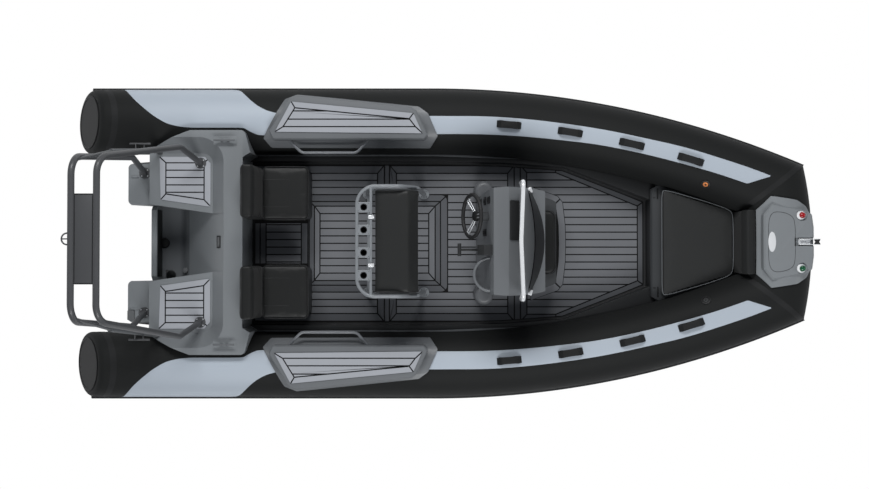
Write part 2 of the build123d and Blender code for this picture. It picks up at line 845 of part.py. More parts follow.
with BuildPart() as front_cushion:
    with BuildSketch(Plane.XY.offset(front_seat_height)) as front_seat_plan:
        with Locations(((front_seat_back + front_seat_front) / 2 + 4, 0)):
            Rectangle(front_seat_front - front_seat_back - 16, 560)
        fillet(front_seat_plan.vertices().group_by(Axis.X)[-1], 70)
    extrude(amount=60)
    fillet(front_cushion.faces().sort_by(Axis.Z)[-1].edges(), 18)
finish_node(front_cushion, "front_cushion")

# Curved windscreen, leaning aft
with BuildPart() as windscreen:
    # height, x of the middle and of the ends, half-width
    screen_sections = ((dash_height, 893, 770, 420), (screen_top, 790, 742, 372))
    for height, middle, ends, half in screen_sections:
        with BuildSketch(Plane.XY.offset(height)):
            with BuildLine():
                outer = ThreePointArc((ends, half), (middle, 0), (ends, -half))
                inner = ThreePointArc(
                    (ends - screen_thickness, half), (middle - screen_thickness, 0), (ends - screen_thickness, -half)
                )
                Line((ends, half), (ends - screen_thickness, half))
                Line((ends, -half), (ends - screen_thickness, -half))
            make_face()
    loft(ruled=True)
finish_node(windscreen, "windscreen")

with BuildPart() as console_rail:
    with BuildLine() as rail_line:
        FilletPolyline(
            (720, 420, dash_height), (690, 462, 1300), (695, 462, 1470), (676, 0, 1476),
            (695, -462, 1470), (690, -462, 1300), (720, -420, dash_height),
            radius=(60, 50, 400, 50, 60),
        )
    with BuildSketch(Plane(origin=rail_line.wire() @ 0, z_dir=rail_line.wire() % 0)):
        Circle(rail_radius)
    sweep(path=rail_line.wire())
    split(bisect_by=Plane.XY.offset(dash_height), keep=Keep.TOP)
finish_node(console_rail, "console_rail")

# Steering wheel on its hub; its axis leans down into the console
lean_sin = sin(radians(wheel_lean))
lean_cos = cos(radians(wheel_lean))
wheel_plane = Plane(origin=(wheel_x, wheel_y, wheel_z), x_dir=(0, 1, 0), z_dir=(lean_cos, 0, -lean_sin))
hub_length = 45
with BuildPart() as steering_wheel:
    with Locations(wheel_plane):
        Torus(wheel_radius, wheel_grip)
    with BuildSketch(wheel_plane.offset(18)):
        Circle(42)
    extrude(amount=hub_length)
    for spoke_turn in (90, 210, 330):
        spoke_out = wheel_plane.x_dir * cos(radians(spoke_turn)) + wheel_plane.y_dir * sin(radians(spoke_turn))
        spoke_end = wheel_plane.origin + spoke_out * wheel_radius
        spoke_start = wheel_plane.origin + wheel_plane.z_dir * 32 + spoke_out * 20
        with BuildSketch(Plane(origin=spoke_start, z_dir=spoke_end - spoke_start)):
            Circle(9)
        extrude(amount=(spoke_end - spoke_start).length)
finish_node(steering_wheel, "steering_wheel")
helm_start = 18 + hub_length + seat_gap
with BuildPart() as helm_hub:
    with BuildSketch(wheel_plane.offset(helm_start)):
        Circle(38)
    extrude(amount=140)
    add(console.part, mode=Mode.SUBTRACT)
    helm_piece = helm_hub.solids().sort_by(Axis.X)[0]
with BuildPart() as helm_hub:
    add(helm_piece)
finish_node(helm_hub, "helm_hub")

# Plotter on the slope, throttle box with its lever, and the grab lip below the dash
slope_turn = atan2(hump_height - dash_height, slope_foot - hump_front)
slope_plane = Plane(
    origin=((hump_front + slope_foot) / 2, 170, (hump_height + dash_height) / 2),
    x_dir=(cos(slope_turn), 0, -sin(slope_turn)),
    z_dir=(sin(slope_turn), 0, cos(slope_turn)),
)
with BuildPart() as plotter:
    with BuildSketch(slope_plane):
        RectangleRounded((slope_foot - hump_front) / cos(slope_turn) - 16, 322, 8)
    extrude(amount=12)
    chamfer(plotter.faces().filter_by(slope_plane).sort_by(Axis.Z)[-1].edges(), 3)
finish_node(plotter, "plotter")

throttle_y = -70
throttle_half_width = 41
throttle_aft = console_aft - 22
throttle_low = hump_height - 135
lever_radius = 10
with BuildPart() as throttle:
    with BuildSketch(Plane.XZ.offset(-throttle_y)) as throttle_profile:
        with BuildLine():
            Polyline(
                (throttle_aft + 74, throttle_low - 30),
                (throttle_aft + 120, throttle_low + 115),
                (throttle_aft + 50, throttle_low + 125),
                (throttle_aft, throttle_low + 70),
                (throttle_aft, throttle_low),
                close=True,
            )
        make_face()
        fillet(throttle_profile.vertices().group_by(Axis.X)[0], 14)
    extrude(amount=throttle_half_width, both=True)
    add(console.part, mode=Mode.SUBTRACT)
    with BuildLine() as lever_path:
        FilletPolyline(
            (throttle_aft + 20, throttle_y, throttle_low + 60),
            (throttle_aft - 50, throttle_y, throttle_low + 140),
            (throttle_aft - 145, throttle_y, throttle_low + 165),
            radius=(60,),
        )
    with BuildSketch(Plane(origin=lever_path.wire() @ 0, z_dir=lever_path.wire() % 0)):
        Circle(lever_radius)
    sweep(path=lever_path.wire())
    with BuildSketch(Plane.XZ.offset(-throttle_y)):
        with Locations((throttle_aft - 150, throttle_low + 166)):
            Circle(1.5 * lever_radius)
    extrude(amount=throttle_half_width + lever_radius, both=True)
finish_node(throttle, "throttle")

lip_z = hump_height - 95
lip_y = -270
lip_half_width = 135
lip_radius = 12
with BuildPart() as grab_lip:
    with BuildLine(Plane.XY.offset(lip_z)) as lip_path:
        ThreePointArc(
            (hump_aft - 15, lip_y - lip_half_width),
            (console_aft - 49, lip_y),
            (hump_aft - 15, lip_y + lip_half_width),
        )
    with BuildSketch(Plane(origin=lip_path.wire() @ 0, z_dir=lip_path.wire() % 0)):
        Circle(lip_radius)
    sweep(path=lip_path.wire())
    add(console.part, mode=Mode.SUBTRACT)
finish_node(grab_lip, "grab_lip")

pod_radius = 83
with BuildPart() as corner_pods:
    with BuildSketch(Plane.XY.offset(deck_top)):
        with Locations((430, 455)):
            Circle(pod_radius)
    extrude(amount=330)
    fillet(corner_pods.faces().sort_by(Axis.Z)[-1].edges(), 40)
    add(console.part, mode=Mode.SUBTRACT)
    mirror(about=Plane.XZ)
finish_node(corner_pods, "corner_pods")

# ---------------------------------------------------------------- bow locker, cushions and step
locker_outline = ((locker_aft, 470), (1960, 505), (2080, 480), (2590, 330), (2660, 260))
with BuildPart() as bow_locker:
    with BuildSketch(Plane.XY.offset(foredeck_height)):
        with BuildLine():
            Polyline(*mirrored(locker_outline), close=True)
        make_face()
    extrude(amount=locker_height - foredeck_height)
    add(tube_clearance.part, mode=Mode.SUBTRACT)
    chamfer(bow_locker.faces().sort_by(Axis.Z)[-1].edges().group_by(Axis.X)[0], 15)
finish_node(bow_locker, "bow_locker")

with BuildPart() as bow_cushion:
    with BuildSketch(Plane.XY.offset(locker_height)) as bow_cushion_plan:
        with BuildLine():
            Polyline(
                *mirrored(((bow_cushion_aft, 455), (bow_cushion_aft + 30, 468), (2560, 300), (2600, 262))), close=True
            )
        make_face()
        fillet(bow_cushion_plan.vertices().group_by(Axis.X)[-1], 30)
    extrude(amount=bow_cushion_thickness)
    add(tube_clearance.part, mode=Mode.SUBTRACT)
finish_node(bow_cushion, "bow_cushion")

with BuildPart() as bow_bolster:
    with BuildSketch(Plane.XZ) as bolster_profile:
        with BuildLine():
            Polyline(
                (2606, locker_height + 4), (2604, 760), (2640, 815), (2700, 815), (2727, 770), (2660, locker_height + 4),
                close=True,
            )
        make_face()
        fillet(bolster_profile.vertices().group_by(Axis.Y)[-1], 22)
    extrude(amount=279, both=True)
    add(tube_clearance.part, mode=Mode.SUBTRACT)
    add(bow_clearance.part, mode=Mode.SUBTRACT)
finish_node(bow_bolster, "bow_bolster")

step_outline_bow = ((2745, 225), (2820, 325), (3010, 285), (3090, 262), (3150, 232), (3165, 120))
step_flange_bow = ((2700, 255), (2815, 384), (3030, 350), (3120, 300), (3165, 240), (3180, 120))
with BuildPart() as bow_ring:
    with BuildSketch(Plane(origin=bow_path.wire() @ 0, z_dir=bow_path.wire() % 0)):
        Circle(tube_radius + 14)
    sweep(path=bow_path.wire())
light_x = 3062
light_y = 222
pocket_radius = 47
pocket_depth = 9
slot_depth = 30
slot_x = 3100
slot_length = 200
slot_width = 70
step_wall_foot = 720
step_bevel = 16
with BuildPart() as bow_step_body:
    with BuildSketch(Plane.XY.offset(step_wall_foot)) as step_wall_plan:
        with BuildLine():
            Polyline(*mirrored(step_outline_bow), close=True)
        make_face()
        fillet(step_wall_plan.vertices(), 30)
    extrude(amount=bow_step_height - step_wall_foot)
    chamfer(bow_step_body.faces().sort_by(Axis.Z)[-1].edges(), step_bevel)
with BuildPart() as bow_step:
    with BuildSketch(Plane.XY.offset(corner.Z)):
        with BuildLine():
            Polyline(*mirrored(step_flange_bow), close=True)
        make_face()
    extrude(amount=tube_radius * 1.5)
    add(bow_ring.part, mode=Mode.INTERSECT)
    add(bow_step_body.part)
    # slot for the anchor roller, and a round pocket for each light
    with BuildSketch(Plane.XY.offset(bow_step_height - slot_depth)):
        with Locations((slot_x, 0)):
            Rectangle(slot_length, slot_width)
    extrude(amount=slot_depth, mode=Mode.SUBTRACT)
    with BuildSketch(Plane.XY.offset(bow_step_height - pocket_depth)):
        with Locations((light_x, light_y), (light_x, -light_y)):
            Circle(pocket_radius)
    extrude(amount=pocket_depth, mode=Mode.SUBTRACT)
    add(bow_clearance.part, mode=Mode.SUBTRACT)
    add(tube_clearance.part, mode=Mode.SUBTRACT)
    add(bow_bolster.part, mode=Mode.SUBTRACT)
finish_node(bow_step, "bow_step")

# Navigation lights, the oval plate and the anchor roller between its cheeks
with BuildPart() as nav_lights:
    with BuildSketch(Plane.XY.offset(bow_step_height - pocket_depth)):
        with Locations((light_x, light_y)):
            Ellipse(38, 28)
    extrude(amount=34 + pocket_depth)
    fillet(nav_lights.faces().sort_by(Axis.Z)[-1].edges(), 14)
    mirror(about=Plane.XZ)
finish_node(nav_lights, "nav_lights")

with BuildPart() as oval_plate:
    with BuildSketch(Plane.XY.offset(bow_step_height)):
        with Locations((2812, 0)):
            Ellipse(32, 84)
    extrude(amount=3)
finish_node(oval_plate, "oval_plate")

cheek_thickness = 5
roller_z = bow_step_height - 6
with BuildPart() as roller_cheeks:
    with BuildSketch(Plane.XZ.offset(-(roller_half_width + seat_gap + cheek_thickness))):
        with BuildLine():
            Polyline(
                (3040, bow_step_height - 30), (3040, bow_step_height + 2), (roller_x, bow_step_height + 22),
                (roller_x + 34, roller_z - 10), (roller_x, bow_step_height - 36),
                (3160, bow_step_height - 30),
                close=True,
            )
        make_face()
    extrude(amount=cheek_thickness)
    mirror(about=Plane.XZ)
    with BuildSketch(Plane.XY.offset(bow_step_height - 30)):
        with Locations((3090, 0)):
            Rectangle(100, 2 * roller_half_width + 4)
    extrude(amount=cheek_thickness)
    with BuildSketch(Plane.XZ):
        with Locations((roller_x, roller_z)):
            Circle(5)
    extrude(amount=roller_half_width + cheek_thickness, both=True)
    add(bow_step.part, mode=Mode.SUBTRACT)
finish_node(roller_cheeks, "roller_cheeks")
with BuildPart() as anchor_roller:
    with BuildSketch(Plane.XZ.offset(-roller_half_width)):
        with Locations((roller_x, roller_z)):
            Circle(roller_radius)
            Circle(5 + seat_gap, mode=Mode.SUBTRACT)
    extrude(amount=2 * roller_half_width)
finish_node(anchor_roller, "anchor_roller")

# ---------------------------------------------------------------- arch over the stern
arch_corner = 150
foot_rise = 10
forward_knee = (-2100, 781, 1000)
aft_foot = (-2545, 613)
aft_knee = (-2530, 708, 860)


def other_side(point):
    """The point's mirror image to starboard."""
    return (point[0], -point[1], *point[2:])


with BuildPart() as arch_forward_hoop:
    with BuildLine() as forward_path:
        FilletPolyline(
            (*arch_foot, platform_height),
            forward_knee,
            (arch_forward_x, arch_half_width, arch_height),
            (arch_forward_x, -arch_half_width, arch_height),
            other_side(forward_knee),
            (*other_side(arch_foot), platform_height),
            radius=(120, arch_corner, arch_corner, 120),
        )
    with BuildSketch(Plane(origin=forward_path.wire() @ 0, z_dir=forward_path.wire() % 0)):
        Circle(arch_tube)
    sweep(path=forward_path.wire())
    with BuildSketch(Plane.XY.offset(platform_height)):
        with Locations(arch_foot, other_side(arch_foot)):
            Circle(foot_plate)
    extrude(amount=foot_rise)
    split(bisect_by=Plane.XY.offset(platform_height), keep=Keep.TOP)
finish_node(arch_forward_hoop, "arch_forward_hoop")

with BuildPart() as arch_aft_hoop:
    with BuildLine() as aft_path:
        FilletPolyline(
            (*aft_foot, step_height),
            aft_knee,
            (arch_aft_x, arch_half_width, arch_height),
            (arch_aft_x, -arch_half_width, arch_height),
            other_side(aft_knee),
            (*other_side(aft_foot), step_height),
            radius=(120, arch_corner, arch_corner, 120),
        )
    with BuildSketch(Plane(origin=aft_path.wire() @ 0, z_dir=aft_path.wire() % 0)):
        Circle(arch_tube)
    sweep(path=aft_path.wire())
    with BuildSketch(Plane.XY.offset(step_height)):
        with Locations(aft_foot, other_side(aft_foot)):
            Circle(foot_plate)
    extrude(amount=foot_rise)
    split(bisect_by=Plane.XY.offset(step_height), keep=Keep.TOP)
finish_node(arch_aft_hoop, "arch_aft_hoop")

# Braces from the platforms to the aft hoop's corners: a thick sleeve, and a thin rod that slides in it
brace_foot = Vector(-2385, 800, platform_height)
brace_knee = Vector(-2502, 686, 1550)
brace_top = Vector(arch_aft_x + 2, arch_half_width - 22, arch_height - 42)
sleeve_radius = 22
brace_radius = 13
with BuildPart() as arch_braces:
    for start, end, radius in ((brace_foot, brace_knee, sleeve_radius), (brace_knee, brace_top, brace_radius)):
        with BuildSketch(Plane(origin=start, z_dir=end - start)):
            Circle(radius)
        extrude(amount=(end - start).length)
    with Locations(brace_knee):
        Sphere(brace_radius)
    with BuildSketch(Plane.XY.offset(platform_height)):
        with Locations((brace_foot.X, brace_foot.Y - 6)):
            Circle(1.4 * sleeve_radius)
    extrude(amount=foot_rise)
    split(bisect_by=Plane.XY.offset(platform_height), keep=Keep.TOP)
    add(arch_aft_hoop.part, mode=Mode.SUBTRACT)
    add(stern_moulding.part, mode=Mode.SUBTRACT)
    mirror(about=Plane.XZ)
finish_node(arch_braces, "arch_braces")

# Hand grips on the sleeves, each a bar on two legs
grip_reach = 59
grip_radius = 8
grip_leg = 5
grip_share = 0.455  # place of the grip up the sleeve
grip_axis = brace_foot + (brace_knee - brace_foot) * grip_share
grip_centre = Vector(grip_axis.X + 8, grip_axis.Y + grip_reach, grip_axis.Z)
with BuildPart() as arch_grips:
    with BuildSketch(Plane(origin=grip_centre - Vector(86, 0, 0), z_dir=(1, 0, 0))):
        Circle(grip_radius)
    extrude(amount=172)
    for leg_x, leg_share in ((-36, grip_share + 0.06), (36, grip_share - 0.1)):
        leg_start = grip_centre + Vector(leg_x, 0, 0)
        leg_end = brace_foot + (brace_knee - brace_foot) * leg_share
        with BuildSketch(Plane(origin=leg_start, z_dir=leg_end - leg_start)):
            Circle(grip_leg)
        extrude(amount=(leg_end - leg_start).length)
    add(arch_braces.part, mode=Mode.SUBTRACT)
    mirror(about=Plane.XZ)
finish_node(arch_grips, "arch_grips")

# Plate that ties the two bars, and the tow ring behind it
with BuildPart() as arch_plate:
    with BuildSketch(Plane.XY.offset(arch_height)):
        with Locations(((arch_forward_x + arch_aft_x) / 2, 0)):
            Rectangle(arch_forward_x - arch_aft_x - 10, 664)
    extrude(amount=4, both=True)
    add(arch_forward_hoop.part, mode=Mode.SUBTRACT)
    add(arch_aft_hoop.part, mode=Mode.SUBTRACT)
finish_node(arch_plate, "arch_plate")

ring_radius = 42
with BuildPart() as tow_ring:
    with Locations(Plane(origin=(arch_aft_x - arch_tube, 0, arch_height), z_dir=(0, 0, 1))):
        Torus(ring_radius, 6)
    with BuildSketch(Plane.YZ.offset(arch_aft_x - arch_tube - ring_radius)):
        with Locations((0, arch_height)):
            Circle(5)
    extrude(amount=ring_radius + arch_tube)
    add(arch_aft_hoop.part, mode=Mode.SUBTRACT)
finish_node(tow_ring, "tow_ring")

# Stern cleats on the wings
cleat_length = 182
with BuildPart() as stern_cleats:
    with BuildSketch(Plane.XZ.offset(-869)):
        with BuildLine():
            Polyline(
                (-1789 - cleat_length / 2, bench_height + 42), (-1789 - 34, bench_height + 26),
                (-1789 - 34, bench_height), (-1789 - 14, bench_height), (-1789 - 14, bench_height + 26),
                (-1789 + 14, bench_height + 26), (-1789 + 14, bench_height), (-1789 + 34, bench_height),
                (-1789 + 34, bench_height + 26), (-1789 + cleat_length / 2, bench_height + 42),
                (-1789 + cleat_length / 2, bench_height + 52), (-1789 - cleat_length / 2, bench_height + 52),
                close=True,
            )
        make_face()
    extrude(amount=9, both=True)
    mirror(about=Plane.XZ)
finish_node(stern_cleats, "stern_cleats")
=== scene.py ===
"""Looks of a rigid inflatable boat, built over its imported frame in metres: +X forward, +Y to port, +Z up."""

import json
import math

import bmesh
import bpy
from mathutils import Matrix, Vector

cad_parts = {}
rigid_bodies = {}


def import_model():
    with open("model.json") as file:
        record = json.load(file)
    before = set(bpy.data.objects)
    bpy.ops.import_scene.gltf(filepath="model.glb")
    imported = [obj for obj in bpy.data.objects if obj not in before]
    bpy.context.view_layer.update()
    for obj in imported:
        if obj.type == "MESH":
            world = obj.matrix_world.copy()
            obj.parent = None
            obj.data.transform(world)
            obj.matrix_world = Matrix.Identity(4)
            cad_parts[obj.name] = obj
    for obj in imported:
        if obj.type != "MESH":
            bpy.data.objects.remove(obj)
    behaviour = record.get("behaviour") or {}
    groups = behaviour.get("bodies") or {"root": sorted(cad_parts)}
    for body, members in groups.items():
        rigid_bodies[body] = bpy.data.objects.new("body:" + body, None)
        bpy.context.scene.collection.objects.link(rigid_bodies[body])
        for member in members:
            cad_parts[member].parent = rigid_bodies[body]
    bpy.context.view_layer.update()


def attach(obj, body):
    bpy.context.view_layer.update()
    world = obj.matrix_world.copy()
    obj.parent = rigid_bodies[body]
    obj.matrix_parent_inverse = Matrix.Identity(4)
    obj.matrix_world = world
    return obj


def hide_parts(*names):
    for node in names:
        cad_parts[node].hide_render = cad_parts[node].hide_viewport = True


for left_over in list(bpy.data.objects):
    bpy.data.objects.remove(left_over)
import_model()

# ---------------------------------------------------------------- camera, light and floor
# The view is from above amidships, a degree off straight down, with the bow to the right. The floor lies at
# the water's surface.
camera_height = 9.64
camera_y = -0.17
camera_lean = 0.968
camera_lens = 43.456
sensor_width = 36
camera_data = bpy.data.cameras.new("camera")
camera_data.sensor_width = sensor_width
camera_data.lens = camera_lens
camera = bpy.data.objects.new("camera", camera_data)
camera.location = (0, camera_y, camera_height)
camera.rotation_euler = (math.radians(camera_lean), 0, 0)
bpy.context.collection.objects.link(camera)
bpy.context.scene.camera = camera
bpy.context.scene.view_settings.view_transform = "Standard"


def softbox(name, place, aim, size, watts):
    """A rectangular lamp at a place, turned to face its aim."""
    data = bpy.data.lights.new(name, "AREA")
    data.shape = "RECTANGLE"
    data.size, data.size_y = size
    data.energy = watts
    lamp = bpy.data.objects.new(name, data)
    lamp.location = place
    lamp.rotation_euler = (Vector(aim) - Vector(place)).to_track_quat("-Z", "Y").to_euler()
    bpy.context.collection.objects.link(lamp)


key_size = (7.0, 2.4)
end_size = (3.0, 2.0)
softbox("port_key", (-0.8, 6.8, 7.8), (0, 0, 0.3), key_size, 690)
softbox("starboard_key", (0.8, -7.2, 7.4), (0, 0, 0.3), key_size, 560)
softbox("stern_light", (-8.0, 0.5, 3.0), (-2, 0, 0.5), end_size, 22)
softbox("bow_light", (8.5, -0.5, 3.4), (2, 0, 0.5), end_size, 40)


def backdrop_white(nodes, links, shade, shader_out):
    """Show a surface as plain white to the camera, straight on or through clear plastic."""
    path = nodes.new("ShaderNodeLightPath")
    seen = nodes.new("ShaderNodeMath")
    seen.operation = "MAXIMUM"
    links.new(path.outputs["Is Camera Ray"], seen.inputs[0])
    links.new(path.outputs["Is Transmission Ray"], seen.inputs[1])
    white = nodes.new("ShaderNodeEmission")
    white.inputs["Color"].default_value = (1, 1, 1, 1)
    mix = nodes.new("ShaderNodeMixShader")
    links.new(seen.outputs[0], mix.inputs[0])
    links.new(shade, mix.inputs[1])
    links.new(white.outputs[0], mix.inputs[2])
    links.new(mix.outputs[0], shader_out)


room_tint = (0.82, 0.86, 0.92, 1)
room_strength = 0.25
world = bpy.data.worlds.new("studio")
bpy.context.scene.world = world
world.use_nodes = True
world_nodes = world.node_tree.nodes
world_links = world.node_tree.links
room = world_nodes["Background"]
room.inputs["Color"].default_value = room_tint
room.inputs["Strength"].default_value = room_strength
backdrop_white(world_nodes, world_links, room.outputs[0], world_nodes["World Output"].inputs["Surface"])

floor_reach = 30
floor_tint = (0.9, 0.9, 0.9, 1)
floor_bm = bmesh.new()
bmesh.ops.create_grid(floor_bm, x_segments=1, y_segments=1, size=floor_reach)
floor_mesh = bpy.data.meshes.new("floor")
floor_bm.to_mesh(floor_mesh)
floor_bm.free()
floor = bpy.data.objects.new("floor", floor_mesh)
bpy.context.collection.objects.link(floor)
floor_material = bpy.data.materials.new("floor")
floor_material.use_nodes = True
floor_nodes = floor_material.node_tree.nodes
floor_links = floor_material.node_tree.links
floor_shader = floor_nodes["Principled BSDF"]
floor_shader.inputs["Base Color"].default_value = floor_tint
floor_shader.inputs["Roughness"].default_value = 0.9
backdrop_white(floor_nodes, floor_links, floor_shader.outputs[0],
               floor_nodes["Material Output"].inputs["Surface"])
floor_mesh.materials.append(floor_material)

# ---------------------------------------------------------------- buoyancy tubes
# Two side tubes and a bow tube of coated black fabric, inflated hard and glued together on mitred seams at
# the bow corners. The stern ends are raked, with a rounded rim. Tape covers the seams at rims and mitres.
tube_radius = 0.285
tube_spacing = 1.07
tube_height = 0.35
tube_stern = -3.06
tube_rake = math.radians(34)
tube_end_round = 0.04
tube_sides = 72
mitre_overrun = 0.42  # how far a side tube runs past its corner before the mitre is cut
bow_overrun = 1.6  # the same for the bow tube, in tube radii
rake_reach = -1.9  # rings aft of this lean over with the raked end
rim_room = 0.045
bow_curve = 6.736
sheer_tilt = math.radians(22)
corner_x = 2.912
bow_bulge = 2.745
fabric_black = (31, 32, 32)
fabric_seam = (24, 25, 26)


def linear(colour):
    """Scene-linear colour with alpha, from a screen colour in 0 to 255."""
    parts = [c / 255 for c in colour]
    return (*[c / 12.92 if c <= 0.04045 else ((c + 0.055) / 1.055) ** 2.4 for c in parts], 1)


def pattern(material, kind, scale):
    """A texture that reads the piece's own coordinates, at a scale."""
    nodes = material.node_tree.nodes
    place = next(n for n in nodes if n.type == "TEX_COORD")
    texture = nodes.new(kind)
    texture.inputs["Scale"].default_value = scale
    material.node_tree.links.new(place.outputs["Object"], texture.inputs["Vector"])
    return texture


def surface(name, colour, rough, mottle=0.06, mottle_scale=3.0, grain_scale=900.0, grain_depth=0.0002,
            **sockets):
    """A finish whose colour drifts a little over the piece, with a fine grain in its relief."""
    material = bpy.data.materials.new(name)
    material.use_nodes = True
    nodes = material.node_tree.nodes
    links = material.node_tree.links
    shader = nodes["Principled BSDF"]
    shader.inputs["Roughness"].default_value = rough
    shader.inputs["Specular IOR Level"].default_value = 0.3
    for socket, value in sockets.items():
        shader.inputs[socket.replace("_", " ")].default_value = value
    nodes.new("ShaderNodeTexCoord")
    drift = pattern(material, "ShaderNodeTexNoise", mottle_scale)
    drift.inputs["Detail"].default_value = 5
    tint = nodes.new("ShaderNodeMix")
    tint.data_type = "RGBA"
    base = linear(colour)
    tint.inputs["A"].default_value = (*[c * (1 - mottle) for c in base[:3]], 1)
    tint.inputs["B"].default_value = (*[c * (1 + mottle) for c in base[:3]], 1)
    links.new(drift.outputs["Fac"], tint.inputs["Factor"])
    links.new(tint.outputs["Result"], shader.inputs["Base Color"])
    grain = pattern(material, "ShaderNodeTexNoise", grain_scale)
    grain.inputs["Detail"].default_value = 3
    relief = nodes.new("ShaderNodeBump")
    relief.inputs["Distance"].default_value = grain_depth
    relief.inputs["Strength"].default_value = 0.6
    links.new(grain.outputs["Fac"], relief.inputs["Height"])
    links.new(relief.outputs["Normal"], shader.inputs["Normal"])
    return material


def press_in(material, height, depth, strength):
    """Press a pattern's relief into a finish, over its own grain."""
    nodes = material.node_tree.nodes
    links = material.node_tree.links
    grain = next(n for n in nodes if n.type == "BUMP")
    relief = nodes.new("ShaderNodeBump")
    relief.inputs["Distance"].default_value = depth
    relief.inputs["Strength"].default_value = strength
    links.new(height, relief.inputs["Height"])
    links.new(grain.outputs["Normal"], relief.inputs["Normal"])
    links.new(relief.outputs["Normal"], nodes["Principled BSDF"].inputs["Normal"])


def woven(material, threads=620, depth=0.00018):
    """Press a fine plain weave into a finish, as the cloth under the coating prints through."""
    cross = material.node_tree.nodes.new("ShaderNodeMath")
    cross.operation = "MULTIPLY"
    for socket, direction in zip(cross.inputs, ("X", "Y")):
        wave = pattern(material, "ShaderNodeTexWave", threads)
        wave.bands_direction = direction
        material.node_tree.links.new(wave.outputs["Fac"], socket)
    press_in(material, cross.outputs[0], depth, 0.35)
    return material


def finished(bm, name, material, body="boat", crease=32):
    """Turn a bmesh into a named piece: smooth, with hard edges past an angle, riding on its body."""
    for face in bm.faces:
        face.smooth = True
    for edge in bm.edges:
        edge.smooth = len(edge.link_faces) == 2 and edge.calc_face_angle(0) < math.radians(crease)
    mesh = bpy.data.meshes.new(name)
    bm.to_mesh(mesh)
    bm.free()
    mesh.materials.append(material)
    obj = bpy.data.objects.new(name, mesh)
    bpy.context.collection.objects.link(obj)
    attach(obj, body)
    return obj


def everything(bm):
    """All the geometry of a bmesh, as the operators take it."""
    return bm.verts[:] + bm.edges[:] + bm.faces[:]


def only(kind, geometry):
    """The vertices, edges or faces among what an operator gives back."""
    return [g for g in geometry if isinstance(g, kind)]


def face_outwards(bm):
    """Turn every face of a bmesh outwards."""
    bmesh.ops.recalc_face_normals(bm, faces=bm.faces[:])


def add_to(bm, piece):
    """Add one bmesh to another, and let the first go."""
    laid = bpy.data.meshes.new("laid")
    piece.to_mesh(laid)
    piece.free()
    bm.from_mesh(laid)
    bpy.data.meshes.remove(laid)


def cut(bm, place, normal, **cleared):
    """Cut a bmesh through at a plane, and clear one side of it."""
    return bmesh.ops.bisect_plane(bm, geom=everything(bm), plane_co=place, plane_no=normal, **cleared)


def soften(bm, edges, width, segments=3, clamp=False):
    """Round some edges over in even steps."""
    return bmesh.ops.bevel(bm, geom=edges, offset=width, segments=segments, profile=0.5, affect="EDGES",
                           material=-1, clamp_overlap=clamp)


def mirrored_to_starboard(bm):
    """Add the starboard copy of everything in a bmesh of port pieces."""
    copy = bmesh.ops.duplicate(bm, geom=everything(bm))["geom"]
    bmesh.ops.scale(bm, vec=(1, -1, 1), verts=only(bmesh.types.BMVert, copy))
    bmesh.ops.reverse_faces(bm, faces=only(bmesh.types.BMFace, copy))


tilt_sin = math.sin(sheer_tilt)
tilt_cos = math.cos(sheer_tilt)


def tube_frame(x):
    """Axis point, tangent, outboard normal and binormal of the port tube, a distance x forward."""
    turn = math.asin(max(x, 0) / bow_curve)
    close = bow_curve * (1 - math.cos(turn))
    point = Vector((x, tube_spacing - close * tilt_cos, tube_height + close * tilt_sin))
    tangent = Vector((math.cos(turn), -math.sin(turn) * tilt_cos, math.sin(turn) * tilt_sin))
    outboard = Vector((math.sin(turn), math.cos(turn) * tilt_cos, -math.cos(turn) * tilt_sin))
    return point, tangent, outboard, Vector((0, tilt_sin, tilt_cos))


def out_of_tube(outboard, binormal, angle):
    """Direction out of the tube's axis, an angle inboard of its binormal."""
    return binormal * math.cos(angle) - outboard * math.sin(angle)


def on_tube(x, inboard, height=0.0):
    """Point on the port tube, some radians inboard of its crest and a height off its skin."""
    point, _, outboard, binormal = tube_frame(x)
    return point + out_of_tube(outboard, binormal, sheer_tilt + inboard) * (tube_radius + height)


corner, corner_tangent, _, _ = tube_frame(corner_x)
bow_turn = math.asin(corner.y / bow_bulge)
bow_centre_x = corner.x - bow_bulge * math.cos(bow_turn)
mitre_normal = (corner_tangent + Vector((math.sin(bow_turn), -math.cos(bow_turn), 0))).normalized()
star_normal = Vector((mitre_normal.x, -mitre_normal.y, mitre_normal.z))
star_corner = Vector((corner.x, -corner.y, corner.z))
rake_normal = Vector((-math.cos(tube_rake), 0, math.sin(tube_rake)))
rake_centre = Vector((tube_stern, tube_spacing, tube_height))


def tube_skin(start, end, radius, stations):
    """Rings round the port tube's axis between two stations, joined into a skin."""
    bm = bmesh.new()
    bmesh.ops.create_grid(bm, x_segments=stations, y_segments=tube_sides, size=0.5)
    for v in bm.verts:
        point, _, outboard, binormal = tube_frame(start + (v.co.x + 0.5) * (end - start))
        v.co = point + out_of_tube(outboard, binormal, (v.co.y + 0.5) * math.tau) * radius
    bmesh.ops.remove_doubles(bm, verts=bm.verts[:], dist=1e-5)
    face_outwards(bm)
    return bm


